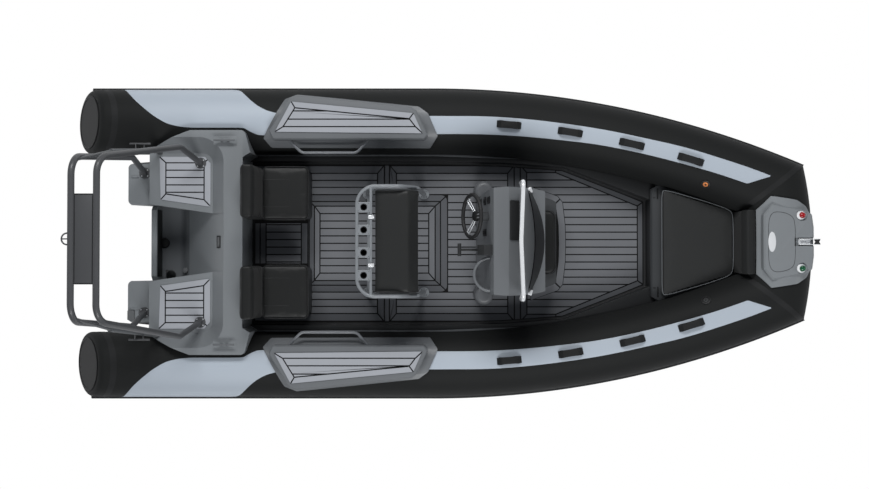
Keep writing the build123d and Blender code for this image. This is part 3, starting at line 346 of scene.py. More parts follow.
tube_fabric = woven(surface("tube_fabric", fabric_black, 0.62, mottle=0.05, mottle_scale=1.6, grain_scale=520,
                            Specular_IOR_Level=0.12))
side_bm = tube_skin(tube_stern, corner_x + mitre_overrun, tube_radius, 150)
aft_ring = []
for v in side_bm.verts:
    if v.co.x < rake_reach:
        ahead = (v.co.x - tube_stern) / (rake_reach - tube_stern)
        end_x = tube_stern + math.tan(tube_rake) * (v.co.z - tube_height)
        if ahead < 1e-4:
            aft_ring.append(v)
            v.co.x = end_x
        else:
            v.co.x = end_x + rim_room + ahead * (rake_reach - end_x - rim_room)
cut(side_bm, corner, mitre_normal, clear_outer=True)
rim = [e for e in side_bm.edges if e.is_boundary and all(v in aft_ring for v in e.verts)]
end_cap = bmesh.ops.contextual_create(side_bm, geom=rim)["faces"]
soften(side_bm, [e for f in end_cap for e in f.edges], tube_end_round, 6)
bmesh.ops.contextual_create(side_bm, geom=[e for e in side_bm.edges if e.is_boundary])
face_outwards(side_bm)
mirrored_to_starboard(side_bm)
side_tubes = finished(side_bm, "side_tubes", tube_fabric, crease=40)
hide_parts("tube_port", "tube_starboard")

bow_bm = bmesh.new()
bmesh.ops.create_circle(bow_bm, segments=tube_sides, radius=tube_radius)
reach = bow_turn + tube_radius * bow_overrun / bow_bulge
bmesh.ops.rotate(bow_bm, verts=bow_bm.verts[:], matrix=Matrix.Rotation(math.pi / 2, 3, "X"))
bmesh.ops.translate(bow_bm, verts=bow_bm.verts[:], vec=(bow_bulge, 0, 0))
bmesh.ops.rotate(bow_bm, verts=bow_bm.verts[:], matrix=Matrix.Rotation(-reach, 3, "Z"))
bmesh.ops.spin(bow_bm, geom=bow_bm.verts[:] + bow_bm.edges[:], cent=(0, 0, 0), axis=(0, 0, 1),
               angle=2 * reach, steps=40, use_duplicate=False)
bmesh.ops.translate(bow_bm, verts=bow_bm.verts[:], vec=(bow_centre_x, 0, corner.z))
for place, normal in ((corner, mitre_normal), (star_corner, star_normal)):
    section = cut(bow_bm, place, normal, clear_inner=True)["geom_cut"]
    bmesh.ops.contextual_create(bow_bm, geom=only(bmesh.types.BMEdge, section))
face_outwards(bow_bm)
bow_tube = finished(bow_bm, "bow_tube", tube_fabric, crease=40)
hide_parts("tube_bow")

# ---------------------------------------------------------------- coloured panels on the tubes
# Pale fabric panels glued over the black: a band along the top of each tube that ends in a slanted tip at the
# bow, and a broad panel at the stern that sweeps down the outer side.
panel_grey = (172, 181, 191)
panel_lift = 0.0016
glue_line = 0.0002
# Station forward, then the panel's outer and inner edges, in metres round the skin inboard of the crest
panel_rows = (
    (-2.760, -0.440, -0.435),
    (-2.660, -0.440, -0.262),
    (-2.592, -0.440, -0.173),
    (-2.488, -0.440, -0.076),
    (-2.393, -0.440, -0.005),
    (-2.278, -0.440, 0.053),
    (-2.153, -0.440, 0.077),
    (-2.060, -0.440, 0.082),
    (-1.800, -0.440, 0.082),
    (-1.712, -0.343, 0.082),
    (-1.645, -0.240, 0.086),
    (-1.589, -0.170, 0.117),
    (-1.512, -0.104, 0.148),
    (-1.416, -0.058, 0.152),
    (-1.250, -0.026, 0.150),
    (0.050, -0.018, 0.139),
    (0.580, -0.030, 0.125),
    (1.110, -0.035, 0.110),
    (1.457, -0.040, 0.095),
    (1.800, -0.044, 0.089),
    (2.140, -0.055, 0.084),
    (2.470, -0.058, 0.075),
    (2.696, -0.062, 0.071),
    (2.702, -0.062, 0.066),
    (2.829, -0.063, -0.047),
    (2.835, -0.063, -0.052),
)


def between(rows, x):
    """Values of a table of edges at a station: a smooth curve through its rows."""
    x = min(max(x, rows[0][0]), rows[-1][0])
    k = max(i for i, row in enumerate(rows[:-1]) if row[0] <= x)
    a, b = rows[k], rows[k + 1]
    t = (x - a[0]) / (b[0] - a[0])
    values = []
    for j in range(1, len(a)):
        chord = (b[j] - a[j]) / (b[0] - a[0])
        before = (a[j] - rows[k - 1][j]) / (a[0] - rows[k - 1][0]) if k else chord
        after = (rows[k + 2][j] - b[j]) / (rows[k + 2][0] - b[0]) if k + 2 < len(rows) else chord
        leave = 2 * before * chord / (before + chord) if before * chord > 0 else 0
        meet = 2 * after * chord / (after + chord) if after * chord > 0 else 0
        run = b[0] - a[0]
        values.append((2 * t**3 - 3 * t**2 + 1) * a[j] + (t**3 - 2 * t**2 + t) * run * leave
                      + (3 * t**2 - 2 * t**3) * b[j] + (t**3 - t**2) * run * meet)
    return values


def band_on_tube(rows, columns, strips, lift):
    """A sheet of fabric laid on each side tube, between the two edges of a table."""
    bm = bmesh.new()
    bmesh.ops.create_grid(bm, x_segments=columns, y_segments=strips, size=0.5)
    start, end = rows[0][0], rows[-1][0]
    for v in bm.verts:
        x = start + (v.co.x + 0.5) * (end - start)
        outer, inner = between(rows, x)
        edge = min(abs(v.co.y + 0.5), abs(v.co.y - 0.5)) < 1e-6
        inboard = outer + (v.co.y + 0.5) * (inner - outer)
        v.co = on_tube(x, inboard / tube_radius, glue_line if edge else lift)
    face_outwards(bm)
    mirrored_to_starboard(bm)
    return bm


panel_fabric = woven(surface("panel_fabric", panel_grey, 0.5, mottle=0.02, mottle_scale=1.2, grain_scale=520))
finished(band_on_tube(panel_rows, 420, 14, panel_lift), "tube_panels", panel_fabric, crease=60)

# Seam tape: a strip of the black fabric glued over each joint, round the raked ends and the bow mitres
tape_lift = 0.0012
tape_width = 0.045
tape_from_rake = 0.075
tape_from_mitre = 0.002
seam_fabric = woven(surface("seam_tape", fabric_seam, 0.66, mottle=0.05, mottle_scale=6, grain_scale=520))
tape_bm = bmesh.new()
for place, normal, start, end in (
    (rake_centre - rake_normal * tape_from_rake, rake_normal, tube_stern - 0.4, tube_stern + 0.6),
    (corner - mitre_normal * tape_from_mitre, mitre_normal, corner_x - 0.45, corner_x + mitre_overrun),
):
    strip_bm = tube_skin(start, end, tube_radius + tape_lift, 24)
    cut(strip_bm, place, normal, clear_outer=True)
    cut(strip_bm, place - normal * tape_width, normal, clear_inner=True)
    add_to(tape_bm, strip_bm)
mirrored_to_starboard(tape_bm)
finished(tape_bm, "seam_tapes", seam_fabric, crease=60)

# ---------------------------------------------------------------- rubbing strakes and end panels
# Extruded rubber strakes with two ribs, glued along the widest line of each side tube, and a moulded rubber
# panel with a raised border on each raked end.
strake_height = 0.066
strake_depth = 0.026
strake_rise = 12
strake_start = tube_stern + 0.02
strake_end = corner_x + 0.15
strake_glue = 0.0004
rubber_black = (24, 25, 26)
strake_rubber = surface("strake_rubber", rubber_black, 0.55, mottle=0.08, mottle_scale=9, grain_scale=700)
# Place across the strake as a share of its height, then how far it stands out as a share of its depth
strake_profile = ((-0.5, 0.02), (-0.44, 0.42), (-0.27, 1.0), (-0.10, 0.98), (-0.05, 0.66), (0.05, 0.66),
                  (0.10, 0.98), (0.27, 1.0), (0.44, 0.42), (0.5, 0.02))
strake_bm = bmesh.new()
bmesh.ops.create_grid(strake_bm, x_segments=140, y_segments=len(strake_profile) - 1, size=0.5)
for v in strake_bm.verts:
    x = strake_start + (v.co.x + 0.5) * (strake_end - strake_start)
    across, depth = strake_profile[round((v.co.y + 0.5) * (len(strake_profile) - 1))]
    inboard = -math.radians(90 - strake_rise) - sheer_tilt + across * strake_height / tube_radius
    v.co = on_tube(x, inboard, strake_glue + depth * (strake_depth - 0.0006))
cut(strake_bm, corner, mitre_normal, clear_outer=True)
bmesh.ops.holes_fill(strake_bm, edges=[e for e in strake_bm.edges if e.is_boundary], sides=0)
face_outwards(strake_bm)
mirrored_to_starboard(strake_bm)
rub_strakes = finished(strake_bm, "rubbing_strakes", strake_rubber, crease=30)
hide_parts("rub_strakes")

fitting_gap = 0.0003
end_panel_thickness = 0.008
end_panel_inset = 0.05
end_panel_border = 0.018
end_panel_recess = 0.004
end_panel_black = (11, 11, 12)
cap_bm = bmesh.new()
bmesh.ops.create_circle(cap_bm, cap_ends=True, segments=tube_sides, radius=tube_radius - end_panel_inset)
bmesh.ops.scale(cap_bm, vec=(1, 1 / math.cos(tube_rake), 1), verts=cap_bm.verts[:])
rise = bmesh.ops.extrude_face_region(cap_bm, geom=cap_bm.faces[:])["geom"]
bmesh.ops.translate(cap_bm, verts=only(bmesh.types.BMVert, rise), vec=(0, 0, end_panel_thickness))
top_face = max(cap_bm.faces, key=lambda f: f.calc_center_median().z)
bmesh.ops.inset_individual(cap_bm, faces=[top_face], thickness=end_panel_border, depth=0)
bmesh.ops.inset_individual(cap_bm, faces=[top_face], thickness=end_panel_recess, depth=-end_panel_recess)
soften(cap_bm, [e for e in cap_bm.edges if e.calc_face_angle(0) > 0.9], 0.0025)
cap_place = Matrix(((0, math.sin(tube_rake), -math.cos(tube_rake), 0), (1, 0, 0, 0),
                    (0, math.cos(tube_rake), math.sin(tube_rake), 0), (0, 0, 0, 1)))
bmesh.ops.transform(cap_bm, matrix=Matrix.Translation(rake_centre + rake_normal * fitting_gap) @ cap_place,
                    verts=cap_bm.verts[:])
face_outwards(cap_bm)
mirrored_to_starboard(cap_bm)
end_panel_rubber = surface("end_panel_rubber", end_panel_black, 0.6, mottle=0.08, mottle_scale=9,
                           grain_scale=700)
end_panels = finished(cap_bm, "end_panels", end_panel_rubber)
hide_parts("tube_end_panels")

# ---------------------------------------------------------------- lifting handles and valves
# Moulded rubber handles, four a side: a broad strap that rises from two glued feet. Each valve is a black
# moulded ring round a low cap, bronze to port and black to starboard, with a plunger in its middle.
handle_stations = (0.653, 1.186, 1.716, 2.213)
handle_inboard = 6
handle_length = 0.214
handle_width = 0.062
# From the strap's middle out, as a share of its half length: heights of its underside and top, share of width
handle_half = ((0.0, 0.024, 0.0345, 0.88), (0.40, 0.024, 0.034, 0.90), (0.62, 0.020, 0.030, 0.94),
               (0.80, 0.001, 0.016, 1.0), (0.97, 0.001, 0.011, 1.0), (1.0, 0.001, 0.007, 0.86))
handle_profile = [(-along, *rest) for along, *rest in reversed(handle_half[1:])] + list(handle_half)
handle_bm = bmesh.new()
for station in handle_stations:
    strap = bmesh.new()
    bmesh.ops.create_cube(strap, size=1)
    lengthwise = [e for e in strap.edges if abs(e.verts[0].co.x - e.verts[1].co.x) > 0.5]
    bmesh.ops.subdivide_edges(strap, edges=lengthwise, cuts=len(handle_profile) - 2, use_grid_fill=True)
    for v in strap.verts:
        along, under, over, wide = handle_profile[round((v.co.x + 0.5) * (len(handle_profile) - 1))]
        height = over if v.co.z > 0 else under
        v.co = Vector((along * handle_length / 2, v.co.y * handle_width * wide, height))
    soften(strap, [e for e in strap.edges if e.calc_face_angle(0) > 1.0], 0.0035)
    for v in strap.verts:
        inboard = math.radians(handle_inboard) - v.co.y / tube_radius
        v.co = on_tube(station + v.co.x, inboard, v.co.z + 0.0005)
    add_to(handle_bm, strap)
face_outwards(handle_bm)
mirrored_to_starboard(handle_bm)
handles = finished(handle_bm, "handles", strake_rubber)
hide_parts("tube_handles")

valve_station = 2.395
valve_inboard = 40
valve_radius = 0.040
valve_bronze = (222, 140, 84)
valve_bm = bmesh.new()
bmesh.ops.create_circle(valve_bm, cap_ends=True, segments=48, radius=valve_radius)
# Radius and height of each step of the ring, from its foot to the well inside it
valve_rows = ((valve_radius, 0.004), (0.0385, 0.0075), (0.0300, 0.0088), (0.0270, 0.0072), (0.0262, 0.0030))
face = valve_bm.faces[:]
for radius, height in valve_rows:
    made = bmesh.ops.extrude_face_region(valve_bm, geom=face)["geom"]
    for v in only(bmesh.types.BMVert, made):
        reach_out = math.hypot(v.co.x, v.co.y)
        v.co = Vector((v.co.x * radius / reach_out, v.co.y * radius / reach_out, height))
    bmesh.ops.delete(valve_bm, geom=face, context="FACES_ONLY")
    face = only(bmesh.types.BMFace, made)
valve_cap_bm = bmesh.new()
bmesh.ops.create_cone(valve_cap_bm, cap_ends=True, segments=48, radius1=0.0225, radius2=0.0165, depth=0.0060)
bmesh.ops.translate(valve_cap_bm, verts=valve_cap_bm.verts[:], vec=(0, 0, 0.0078))
cap_top = max(valve_cap_bm.faces, key=lambda f: f.calc_center_median().z)
bmesh.ops.inset_individual(valve_cap_bm, faces=[cap_top], thickness=0.0035, depth=0)
bmesh.ops.inset_individual(valve_cap_bm, faces=[cap_top], thickness=0.0015, depth=-0.0018)
plunger_bm = bmesh.new()
bmesh.ops.create_cone(plunger_bm, cap_ends=True, segments=32, radius1=0.0085, radius2=0.0075, depth=0.0040)
bmesh.ops.translate(plunger_bm, verts=plunger_bm.verts[:], vec=(0, 0, 0.0108))
valve_ring_colour = (26, 27, 28)
valve_rubber = surface("valve_ring", valve_ring_colour, 0.45, mottle=0.05, mottle_scale=30, grain_scale=1500)
valve_cap_bronze = surface("valve_cap_bronze", valve_bronze, 0.35, mottle=0.12, mottle_scale=60,
                           grain_scale=1800)
valve_cap_black_colour = (58, 59, 60)
valve_cap_black = surface("valve_cap_black", valve_cap_black_colour, 0.4, mottle=0.08, mottle_scale=60,
                          grain_scale=1800)


def turn_onto(x, y, z):
    """The turn that carries X, Y and Z onto three directions."""
    return Matrix((x, y, z)).transposed().to_4x4()


def set_on_tube(bm, station, inboard, side):
    """A copy of a small fitting, turned to stand on one of the side tubes."""
    copy = bm.copy()
    point, tangent, outboard, binormal = tube_frame(station)
    out = out_of_tube(outboard, binormal, sheer_tilt + math.radians(inboard))
    turn = turn_onto(tangent, out.cross(tangent), out)
    place = Matrix.Translation(point + out * (tube_radius + fitting_gap))
    bmesh.ops.transform(copy, matrix=place @ turn, verts=copy.verts[:])
    if side < 0:
        bmesh.ops.scale(copy, vec=(1, -1, 1), verts=copy.verts[:])
    face_outwards(copy)
    return copy


for part, bm, port_finish, starboard_finish in (
    ("ring", valve_bm, valve_rubber, valve_rubber),
    ("cap", valve_cap_bm, valve_cap_bronze, valve_cap_black),
    ("plunger", plunger_bm, valve_rubber, valve_rubber),
):
    for side, word, finish in ((1, "port", port_finish), (-1, "starboard", starboard_finish)):
        fitting = set_on_tube(bm, valve_station, valve_inboard, side)
        valve_piece = finished(fitting, f"valve_{part}_{word}", finish)
        if part == "ring" and side > 0:
            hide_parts("tube_valves")

# ---------------------------------------------------------------- hull and deck liner
# A hand-laid glass-fibre hull in dark grey gelcoat, with lifting strakes and a flat chine, and a moulded
# liner glued into it that makes the cockpit's floor and sides. Both have the soft edges of a mould.
hull_grey = (92, 95, 98)
# Painted shade: the liner's grey gelcoat is drawn near black for the shadowed band between the deck and the
# tubes.
liner_grey_painted_shade = (34, 35, 36)


def gelcoat(name, colour, rough):
    """Moulded polyester: a glossy skin with a faint orange peel and a little clouding."""
    return surface(name, colour, rough, mottle=0.03, mottle_scale=2.2, grain_scale=210, grain_depth=0.0004,
                   Coat_Weight=0.12, Coat_Roughness=0.25)


def cad_copy(node):
    """A merged copy of a CAD node's mesh, its flat faces joined again."""
    bm = bmesh.new()
    bm.from_mesh(bpy.data.objects[node].data)
    bmesh.ops.remove_doubles(bm, verts=bm.verts[:], dist=2e-5)
    bmesh.ops.dissolve_limit(bm, angle_limit=math.radians(0.6), verts=bm.verts[:], edges=bm.edges[:])
    return bm


def eased(bm, width, angle=28, segments=3):
    """Round every edge of a moulding that is sharper than an angle."""
    sharp = [e for e in bm.edges if len(e.link_faces) == 2 and e.calc_face_angle(0) > math.radians(angle)]
    soften(bm, sharp, width, segments, clamp=True)
    return bm


hull_gelcoat = gelcoat("hull_gelcoat", hull_grey, 0.32)
hull_skin = finished(eased(cad_copy("hull"), 0.004), "hull_skin", hull_gelcoat, crease=30)
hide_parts("hull")
liner_gelcoat = gelcoat("liner_gelcoat", liner_grey_painted_shade, 0.42)
liner_skin = finished(eased(cad_copy("deck_liner"), 0.006), "liner_skin", liner_gelcoat,
                      crease=30)
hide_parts("deck_liner")

# ---------------------------------------------------------------- foam decking
# Sheets of closed-cell foam, 6 mm thick, glued to the liner: dark grey planks cut through to the black layer
# beneath, with mitred margins, panel joints and a framed hatch panel round the leaning post. The planks' grey
# is the pads' foam painted darker: painted shade for the low cockpit.
# Painted shade: this grey is darker than the pad foam, for the shade low in the cockpit.
deck_grey_painted_shade = (107, 109, 113)
deck_margin_grey = (84, 86, 90)
groove_black = (9, 9, 10)
deck_top = 0.2
deck_base = 0.1975  # bottom of the grooves
deck_floor = 0.194
groove = 0.0052
edge_round = 0.0006
edge_slope = 0.0008
smallest_tile = 2e-4  # square metres


def foam(name, colour):
    """Brushed closed-cell foam: fine furrows along the boat and a soft matt grain."""
    material = surface(name, colour, 0.82, mottle=0.05, mottle_scale=2.5, grain_scale=420, grain_depth=0.0005)
    furrows = pattern(material, "ShaderNodeTexWave", 75)
    furrows.bands_direction = "Y"
    furrows.inputs["Distortion"].default_value = 1.2
    furrows.inputs["Detail Scale"].default_value = 3
    press_in(material, furrows.outputs["Fac"], 0.0004, 0.35)
    return material


def to_side(points, side):
    """Outline points, or their mirror image to starboard."""
    return [(x, side * y) for x, y in points]


def tile(bm, corners, bottom, top, limits=()):
    """One plank, its outline in millimetres, cut off by any limit lines, with half a groove left round it."""
    piece = bmesh.new()
    piece.faces.new([piece.verts.new((x / 1000, y / 1000, bottom)) for x, y in corners])
    face_outwards(piece)
    for a, b in limits:
        a, b = Vector((*a, 0)) / 1000, Vector((*b, 0)) / 1000
        cut(piece, a, (b - a).cross(Vector((0, 0, 1))), clear_outer=True)
    if sum(f.calc_area() for f in piece.faces) <= smallest_tile:
        piece.free()
        return
    if piece.faces[:][0].normal.z < 0:
        bmesh.ops.reverse_faces(piece, faces=piece.faces[:])
    rim = bmesh.ops.inset_region(piece, faces=piece.faces[:], thickness=groove, use_even_offset=True,
                                 use_boundary=True)["faces"]
    bmesh.ops.delete(piece, geom=rim, context="FACES")
    up = bmesh.ops.extrude_face_region(piece, geom=piece.faces[:])["geom"]
    bmesh.ops.translate(piece, verts=only(bmesh.types.BMVert, up), vec=(0, 0, top - bottom - edge_round))
    bmesh.ops.inset_region(piece, faces=only(bmesh.types.BMFace, up), thickness=edge_slope, depth=edge_round,
                           use_even_offset=True, use_boundary=True)
    face_outwards(piece)
    add_to(bm, piece)


def deck_tile(bm, corners, limits=()):
    """One piece of the deck's foam, cut through to the black layer."""
    tile(bm, corners, deck_base, deck_top, limits)


def planks(bm, start, end, lines, limits=()):
    """A field of deck planks between two stations, parted at each line fore and aft."""
    for low, high in zip(lines[:-1], lines[1:]):
        deck_tile(bm, ((start, low), (end, low), (end, high), (start, high)), limits)


def both_ways(lines):
    """Lines from starboard to port, given from the middle out to port."""
    return [-y for y in reversed(lines) if y] + list(lines)


deck_foam = foam("deck_foam", deck_grey_painted_shade)
deck_margin = foam("deck_margin", deck_margin_grey)
deck_black = surface("deck_groove", groove_black, 0.85, mottle=0.05, grain_scale=800)
slab = bmesh.new()
slab.faces.new([slab.verts.new((x / 1000, y / 1000, deck_floor)) for x, y in (
    (-1620, -709), (0, -709), (620, -696), (1150, -656), (1880, -374),
    (1880, 374), (1150, 656), (620, 696), (0, 709), (-1620, 709))])
lift = bmesh.ops.extrude_face_region(slab, geom=slab.faces[:])["geom"]
bmesh.ops.translate(slab, verts=only(bmesh.types.BMVert, lift), vec=(0, 0, deck_base - deck_floor))
face_outwards(slab)
deck_sheet = finished(slab, "deck_foam_black_layer", deck_black)
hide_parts("deck_planking")

# The deck's edges as limit lines, run aft to port and forward to starboard, with the deck on their left
edge_to_port = (((620, 696), (0, 709)), ((1150, 656), (620, 696)), ((1880, 374), (1150, 656)))
deck_edges = [*edge_to_port, *[((x1, -y1), (x0, -y0)) for (x0, y0), (x1, y1) in edge_to_port]]
field_bm = bmesh.new()
margin_bm = bmesh.new()
# Aisle between the seats, with its cross strips
planks(field_bm, -1516, -1199, both_ways((34, 101, 168, 186)))
for start, end in ((-1618, -1570), (-1570, -1516), (-1199, -1140)):
    deck_tile(margin_bm, ((start, -186), (end, -186), (end, 186), (start, 186)))
deck_tile(margin_bm, ((-1140, -377), (-1128, -377), (-1128, 377), (-1140, 377)))
# The framed hatch panel: a narrow ring, a mitred ring and its planks
rings = (((-1128, -377), (54, 377)), ((-1081, -335), (6, 335)), ((-1031, -268), (-52, 268)))
for (low, high), (low_in, high_in), bm in ((rings[0], rings[1], margin_bm), (rings[1], rings[2], field_bm)):
    outside = (low, (high[0], low[1]), high, (low[0], high[1]))
    inside = (low_in, (high_in[0], low_in[1]), high_in, (low_in[0], high_in[1]))
    for k in range(4):
        n = (k + 1) % 4
        deck_tile(bm, (outside[k], outside[n], inside[n], inside[k]))
planks(field_bm, -1031, -52, both_ways((0, 67, 134, 201, 268)))
# The margin ahead of the hatch, rounded at its corners
corner_arc = [(58 + 60 * math.cos(a), 379 + 60 * math.sin(a)) for a in [k * math.pi / 12 for k in range(7)]]
half_arc = corner_arc[:4]
deck_tile(margin_bm, [(54, -377), *to_side(reversed(half_arc), -1), *half_arc, (54, 377)])
# Side decks: planks between margins, mitred where they meet
side_lines = (439, 505, 568, 631)
side_margins = (
    ((-1199, 377), (54, 377), *corner_arc[3:], (-1199, 439)),
    ((-1618, 631), (-513, 631), (-455, 700), (-1618, 700)),
    ((-513, 439), (-450, 439), (-450, 700), (-455, 700), (-513, 631)),
    ((-450, 439), (-406, 439), (-406, 705), (-450, 705)),
    ((-406, 439), (-343, 439), (-343, 631), (-401, 700), (-406, 700)),
    ((-343, 631), (659, 631), (716, 700), (-401, 700)),
    ((659, 437), (718, 437), (718, 700), (716, 700), (659, 631)),
    ((718, 437), (773, 437), (773, 700), (718, 700)),
    ((773, 437), (831, 437), (831, 638), (776, 700), (773, 700)),
    ((831, 638), (1091, 638), (1091, 700), (776, 700)),
    ((1091, 638), (1826, 337), (1876, 372), (1091, 690)),
)
for side in (1, -1):
    for corners in side_margins:
        deck_tile(margin_bm, to_side(corners, side), deck_edges)
    for start, end in ((-1618, -513), (-343, 659)):
        planks(field_bm, start, end, [side * y for y in side_lines])
# Foredeck planks, cut off along the slanted margins
diagonals = [((1826, 337), (1091, 638)), ((1091, -638), (1826, -337))]
planks(field_bm, 831, 1826, both_ways((34, 101, 168, 235, 304, 370, 437, 505, 571, 638)), diagonals)
deck_tile(margin_bm, ((1826, -337), (1876, -370), (1876, 370), (1826, 337)))
planks(field_bm, 118, 831, both_ways((34, 101, 168, 234, 300, 367, 439)))
finished(field_bm, "deck_planks", deck_foam, crease=20)
finished(margin_bm, "deck_margins", deck_margin, crease=20)

# A margin round the console's foot, laid over the planks on a black layer of its own
collar_base = deck_top + 0.0004
collar_top = deck_top + 0.0016
collar_outline = ((858, 522), (1114, 431), (1161, 372), (1184, 170))
collar_front = ((1132, 400), (1156, 370), (1179, 169))
collar_front_inside = ((1086, 353), (1112, 163))
collar_bm = bmesh.new()
collar_black_bm = bmesh.new()
collar_ring = [*to_side(collar_outline, -1), (1188, 0), *reversed(collar_outline)]
tile(collar_black_bm, collar_ring, deck_top, collar_base)
for side in (1, -1):
    tile(collar_bm, to_side(((862, 517), (1110, 427), (1132, 400), (1083, 356), (862, 450)), side),
         collar_base, collar_top)
collar_front_ring = [*to_side(collar_front, -1), (1183, 0), *reversed(collar_front),
                     *collar_front_inside, (1116, 0), *to_side(reversed(collar_front_inside), -1)]
tile(collar_bm, collar_front_ring, collar_base, collar_top)
finished(collar_black_bm, "console_collar_black", deck_black)
finished(collar_bm, "console_collar", deck_foam, crease=20)

# ---------------------------------------------------------------- stern moulding, well and transom
# One grey glass-fibre moulding round the outboard's well: two platforms with curved walls, wings that lap
# over the tubes and a bench across. The transom board closes the well, with black rubber on its inner side.
stern_grey = (120, 124, 127)
well_grey = (92, 94, 96)
platform_height = 0.54
bench_height = 0.69
stern_gelcoat = gelcoat("stern_gelcoat", stern_grey, 0.36)
stern_bm = eased(cad_copy("stern_moulding"), 0.011, angle=26, segments=4)
stern_skin = finished(stern_bm, "stern_skin", stern_gelcoat, crease=30)
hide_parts("stern_moulding")
well_gelcoat = gelcoat("well_gelcoat", well_grey, 0.42)
board_bm = eased(cad_copy("transom"), 0.006)
transom_board = finished(board_bm, "transom_board", stern_gelcoat, crease=30)
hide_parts("transom")
step_bm = eased(cad_copy("stern_steps"), 0.006, angle=26, segments=3)
aft_steps = finished(step_bm, "aft_steps", stern_gelcoat, crease=30)
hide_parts("stern_steps")
ladder_bm = eased(cad_copy("ladder_bracket"), 0.002)
ladder_socket = finished(ladder_bm, "ladder_socket", well_gelcoat)
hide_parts("ladder_bracket")

black_fitting_colour = (24, 25, 26)
black_fitting = surface("black_fitting", black_fitting_colour, 0.5, mottle=0.06, mottle_scale=20,
                        grain_scale=900)


def block(bm, centre, size, bevel=0.002, turn=None):
    """A small box with rounded edges, set at a place."""
    made = bmesh.ops.create_cube(bm, size=1)["verts"]
    bmesh.ops.scale(bm, vec=size, verts=made)
    rounded = soften(bm, list({e for v in made for e in v.link_edges}), bevel)["faces"]
    corners = list({v for f in rounded for v in f.verts} | {v for v in made if v.is_valid})
    if turn:
        bmesh.ops.transform(bm, matrix=turn, verts=corners)
    bmesh.ops.translate(bm, vec=centre, verts=corners)


def turned(bm, place, rows, sides=32, axis=(0, 0, 1)):
    """A turned fitting: an outline of radii and heights spun round an axis, closed at both ends."""
    made = bmesh.new()
    outline = [(0, rows[0][1]), *rows, (0, rows[-1][1])]
    spun = [made.verts.new((radius, 0, height)) for radius, height in outline]
    edges = [made.edges.new(pair) for pair in zip(spun[:-1], spun[1:])]
    bmesh.ops.spin(made, geom=spun + edges, cent=(0, 0, 0), axis=(0, 0, 1), angle=math.tau, steps=sides,
                   use_merge=True)
    bmesh.ops.remove_doubles(made, verts=made.verts[:], dist=1e-6)
    face_outwards(made)
    turn = Vector(axis).to_track_quat("Z", "Y").to_matrix().to_4x4()
    bmesh.ops.transform(made, matrix=Matrix.Translation(Vector(place)) @ turn, verts=made.verts[:])
    add_to(bm, made)


# Well fittings: a rubber face on the transom, a drain flap, a rigging boot, a hose post and a recessed pull
well_floor = 0.101
transom_face = (0.004, 0.60, 0.15)
flap_rows = ((0.045, 0), (0.045, 0.010), (0.038, 0.016), (0.004, 0.018))
boot_rows = ((0.045, 0), (0.040, 0.02), (0.018, 0.10), (0.014, 0.15))
boot_lean = (0, 0.25, 1)
post_rows = ((0.026, 0), (0.026, 0.06), (0.020, 0.075), (0.004, 0.078))
rubber_bm = bmesh.new()
block(rubber_bm, (-2.4725, 0, 0.192), transom_face, 0.0018)
turned(rubber_bm, (-2.452, 0.004, well_floor), flap_rows)
turned(rubber_bm, (-2.395, -0.285, well_floor), boot_rows, axis=boot_lean)
finished(rubber_bm, "well_rubber", black_fitting)
post_bm = bmesh.new()
turned(post_bm, (-2.245, -0.245, 0.11), post_rows)
finished(post_bm, "well_hose_post", well_gelcoat)
pull_place = Vector((-1.857, 0.005, 0.618))
to_port = Vector((0, 1, 0))
slope = Vector((0.108, 0, 0.15)).normalized()
face_out = Vector((-slope.z, 0, slope.x))
for name, depth, size, edge, finish in (
    ("well_pull_frame", 0.001, (0.106, 0.070, 0.006), 0.0028, black_fitting),
    ("well_pull_recess", 0.003, (0.084, 0.046, 0.006), 0.0025, well_gelcoat),
):
    pull_bm = bmesh.new()
    block(pull_bm, pull_place + face_out * depth, size, edge, turn_onto(to_port, slope, to_port.cross(slope)))
    finished(pull_bm, name, finish)

# Vents in the bench's face, and raised pads under the cleats on the wings
vent_size = (0.006, 0.018, 0.034)
cleat_pad_size = (0.20, 0.075, 0.005)
vent_bm = bmesh.new()
wing_bm = bmesh.new()
for side in (1, -1):
    block(vent_bm, (-1.6385, side * 0.71, 0.665), vent_size, 0.0022)
    block(wing_bm, (-1.789, side * 0.869, bench_height + 0.0005), cleat_pad_size, 0.0022)
finished(vent_bm, "bench_vents", black_fitting)
finished(wing_bm, "cleat_pads", stern_gelcoat)

# Light foam pads on the platforms: a mitred border round planks that lie fore and aft
pad_grey = (158, 161, 167)
pad_foam = foam("pad_foam", pad_grey)
pad_glue = 0.0003
pad_base = platform_height + 0.0035
pad_top = platform_height + 0.006
pad_outline = ((-2394, 751), (-1991, 751), (-1939, 690), (-1939, 326), (-1965, 309), (-2381, 369))
pad_lines = (693, 629, 565, 501, 437, 373)
pad_bm = bmesh.new()
pad_under_bm = bmesh.new()
for side in (1, -1):
    outer_corner = to_side(((-1991, 751), (-1939, 690)), side)[::-side]
    inner_corner = to_side(((-1939, 326), (-1965, 309)), side)[::-side]
    slant = to_side(((-2000, 373), (-2332, 423)), side)[::-side]
    tile(pad_under_bm, to_side(pad_outline, side), platform_height + pad_glue, pad_base)
    for corners, limits in (
        (((-2394, 751), (-1939, 751), (-2000, 693), (-2332, 693)), [outer_corner]),
        (((-2394, 751), (-2332, 693), (-2332, 423), (-2381, 369)), []),
        (((-1939, 751), (-1939, 309), (-2000, 373), (-2000, 693)), [outer_corner, inner_corner]),
        (((-2381, 369), (-2332, 423), (-2000, 373), (-1939, 309), (-1965, 309)), []),
    ):
        tile(pad_bm, to_side(corners, side), pad_base, pad_top, limits)
    for low, high in zip(pad_lines[:-1], pad_lines[1:]):
        corners = ((-2332, low), (-2000, low), (-2000, high), (-2332, high))
        tile(pad_bm, to_side(corners, side), pad_base, pad_top, [slant])
stern_pads = finished(pad_bm, "stern_pad_planks", pad_foam, crease=20)
finished(pad_under_bm, "stern_pad_black_layer", deck_black)
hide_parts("stern_pads")

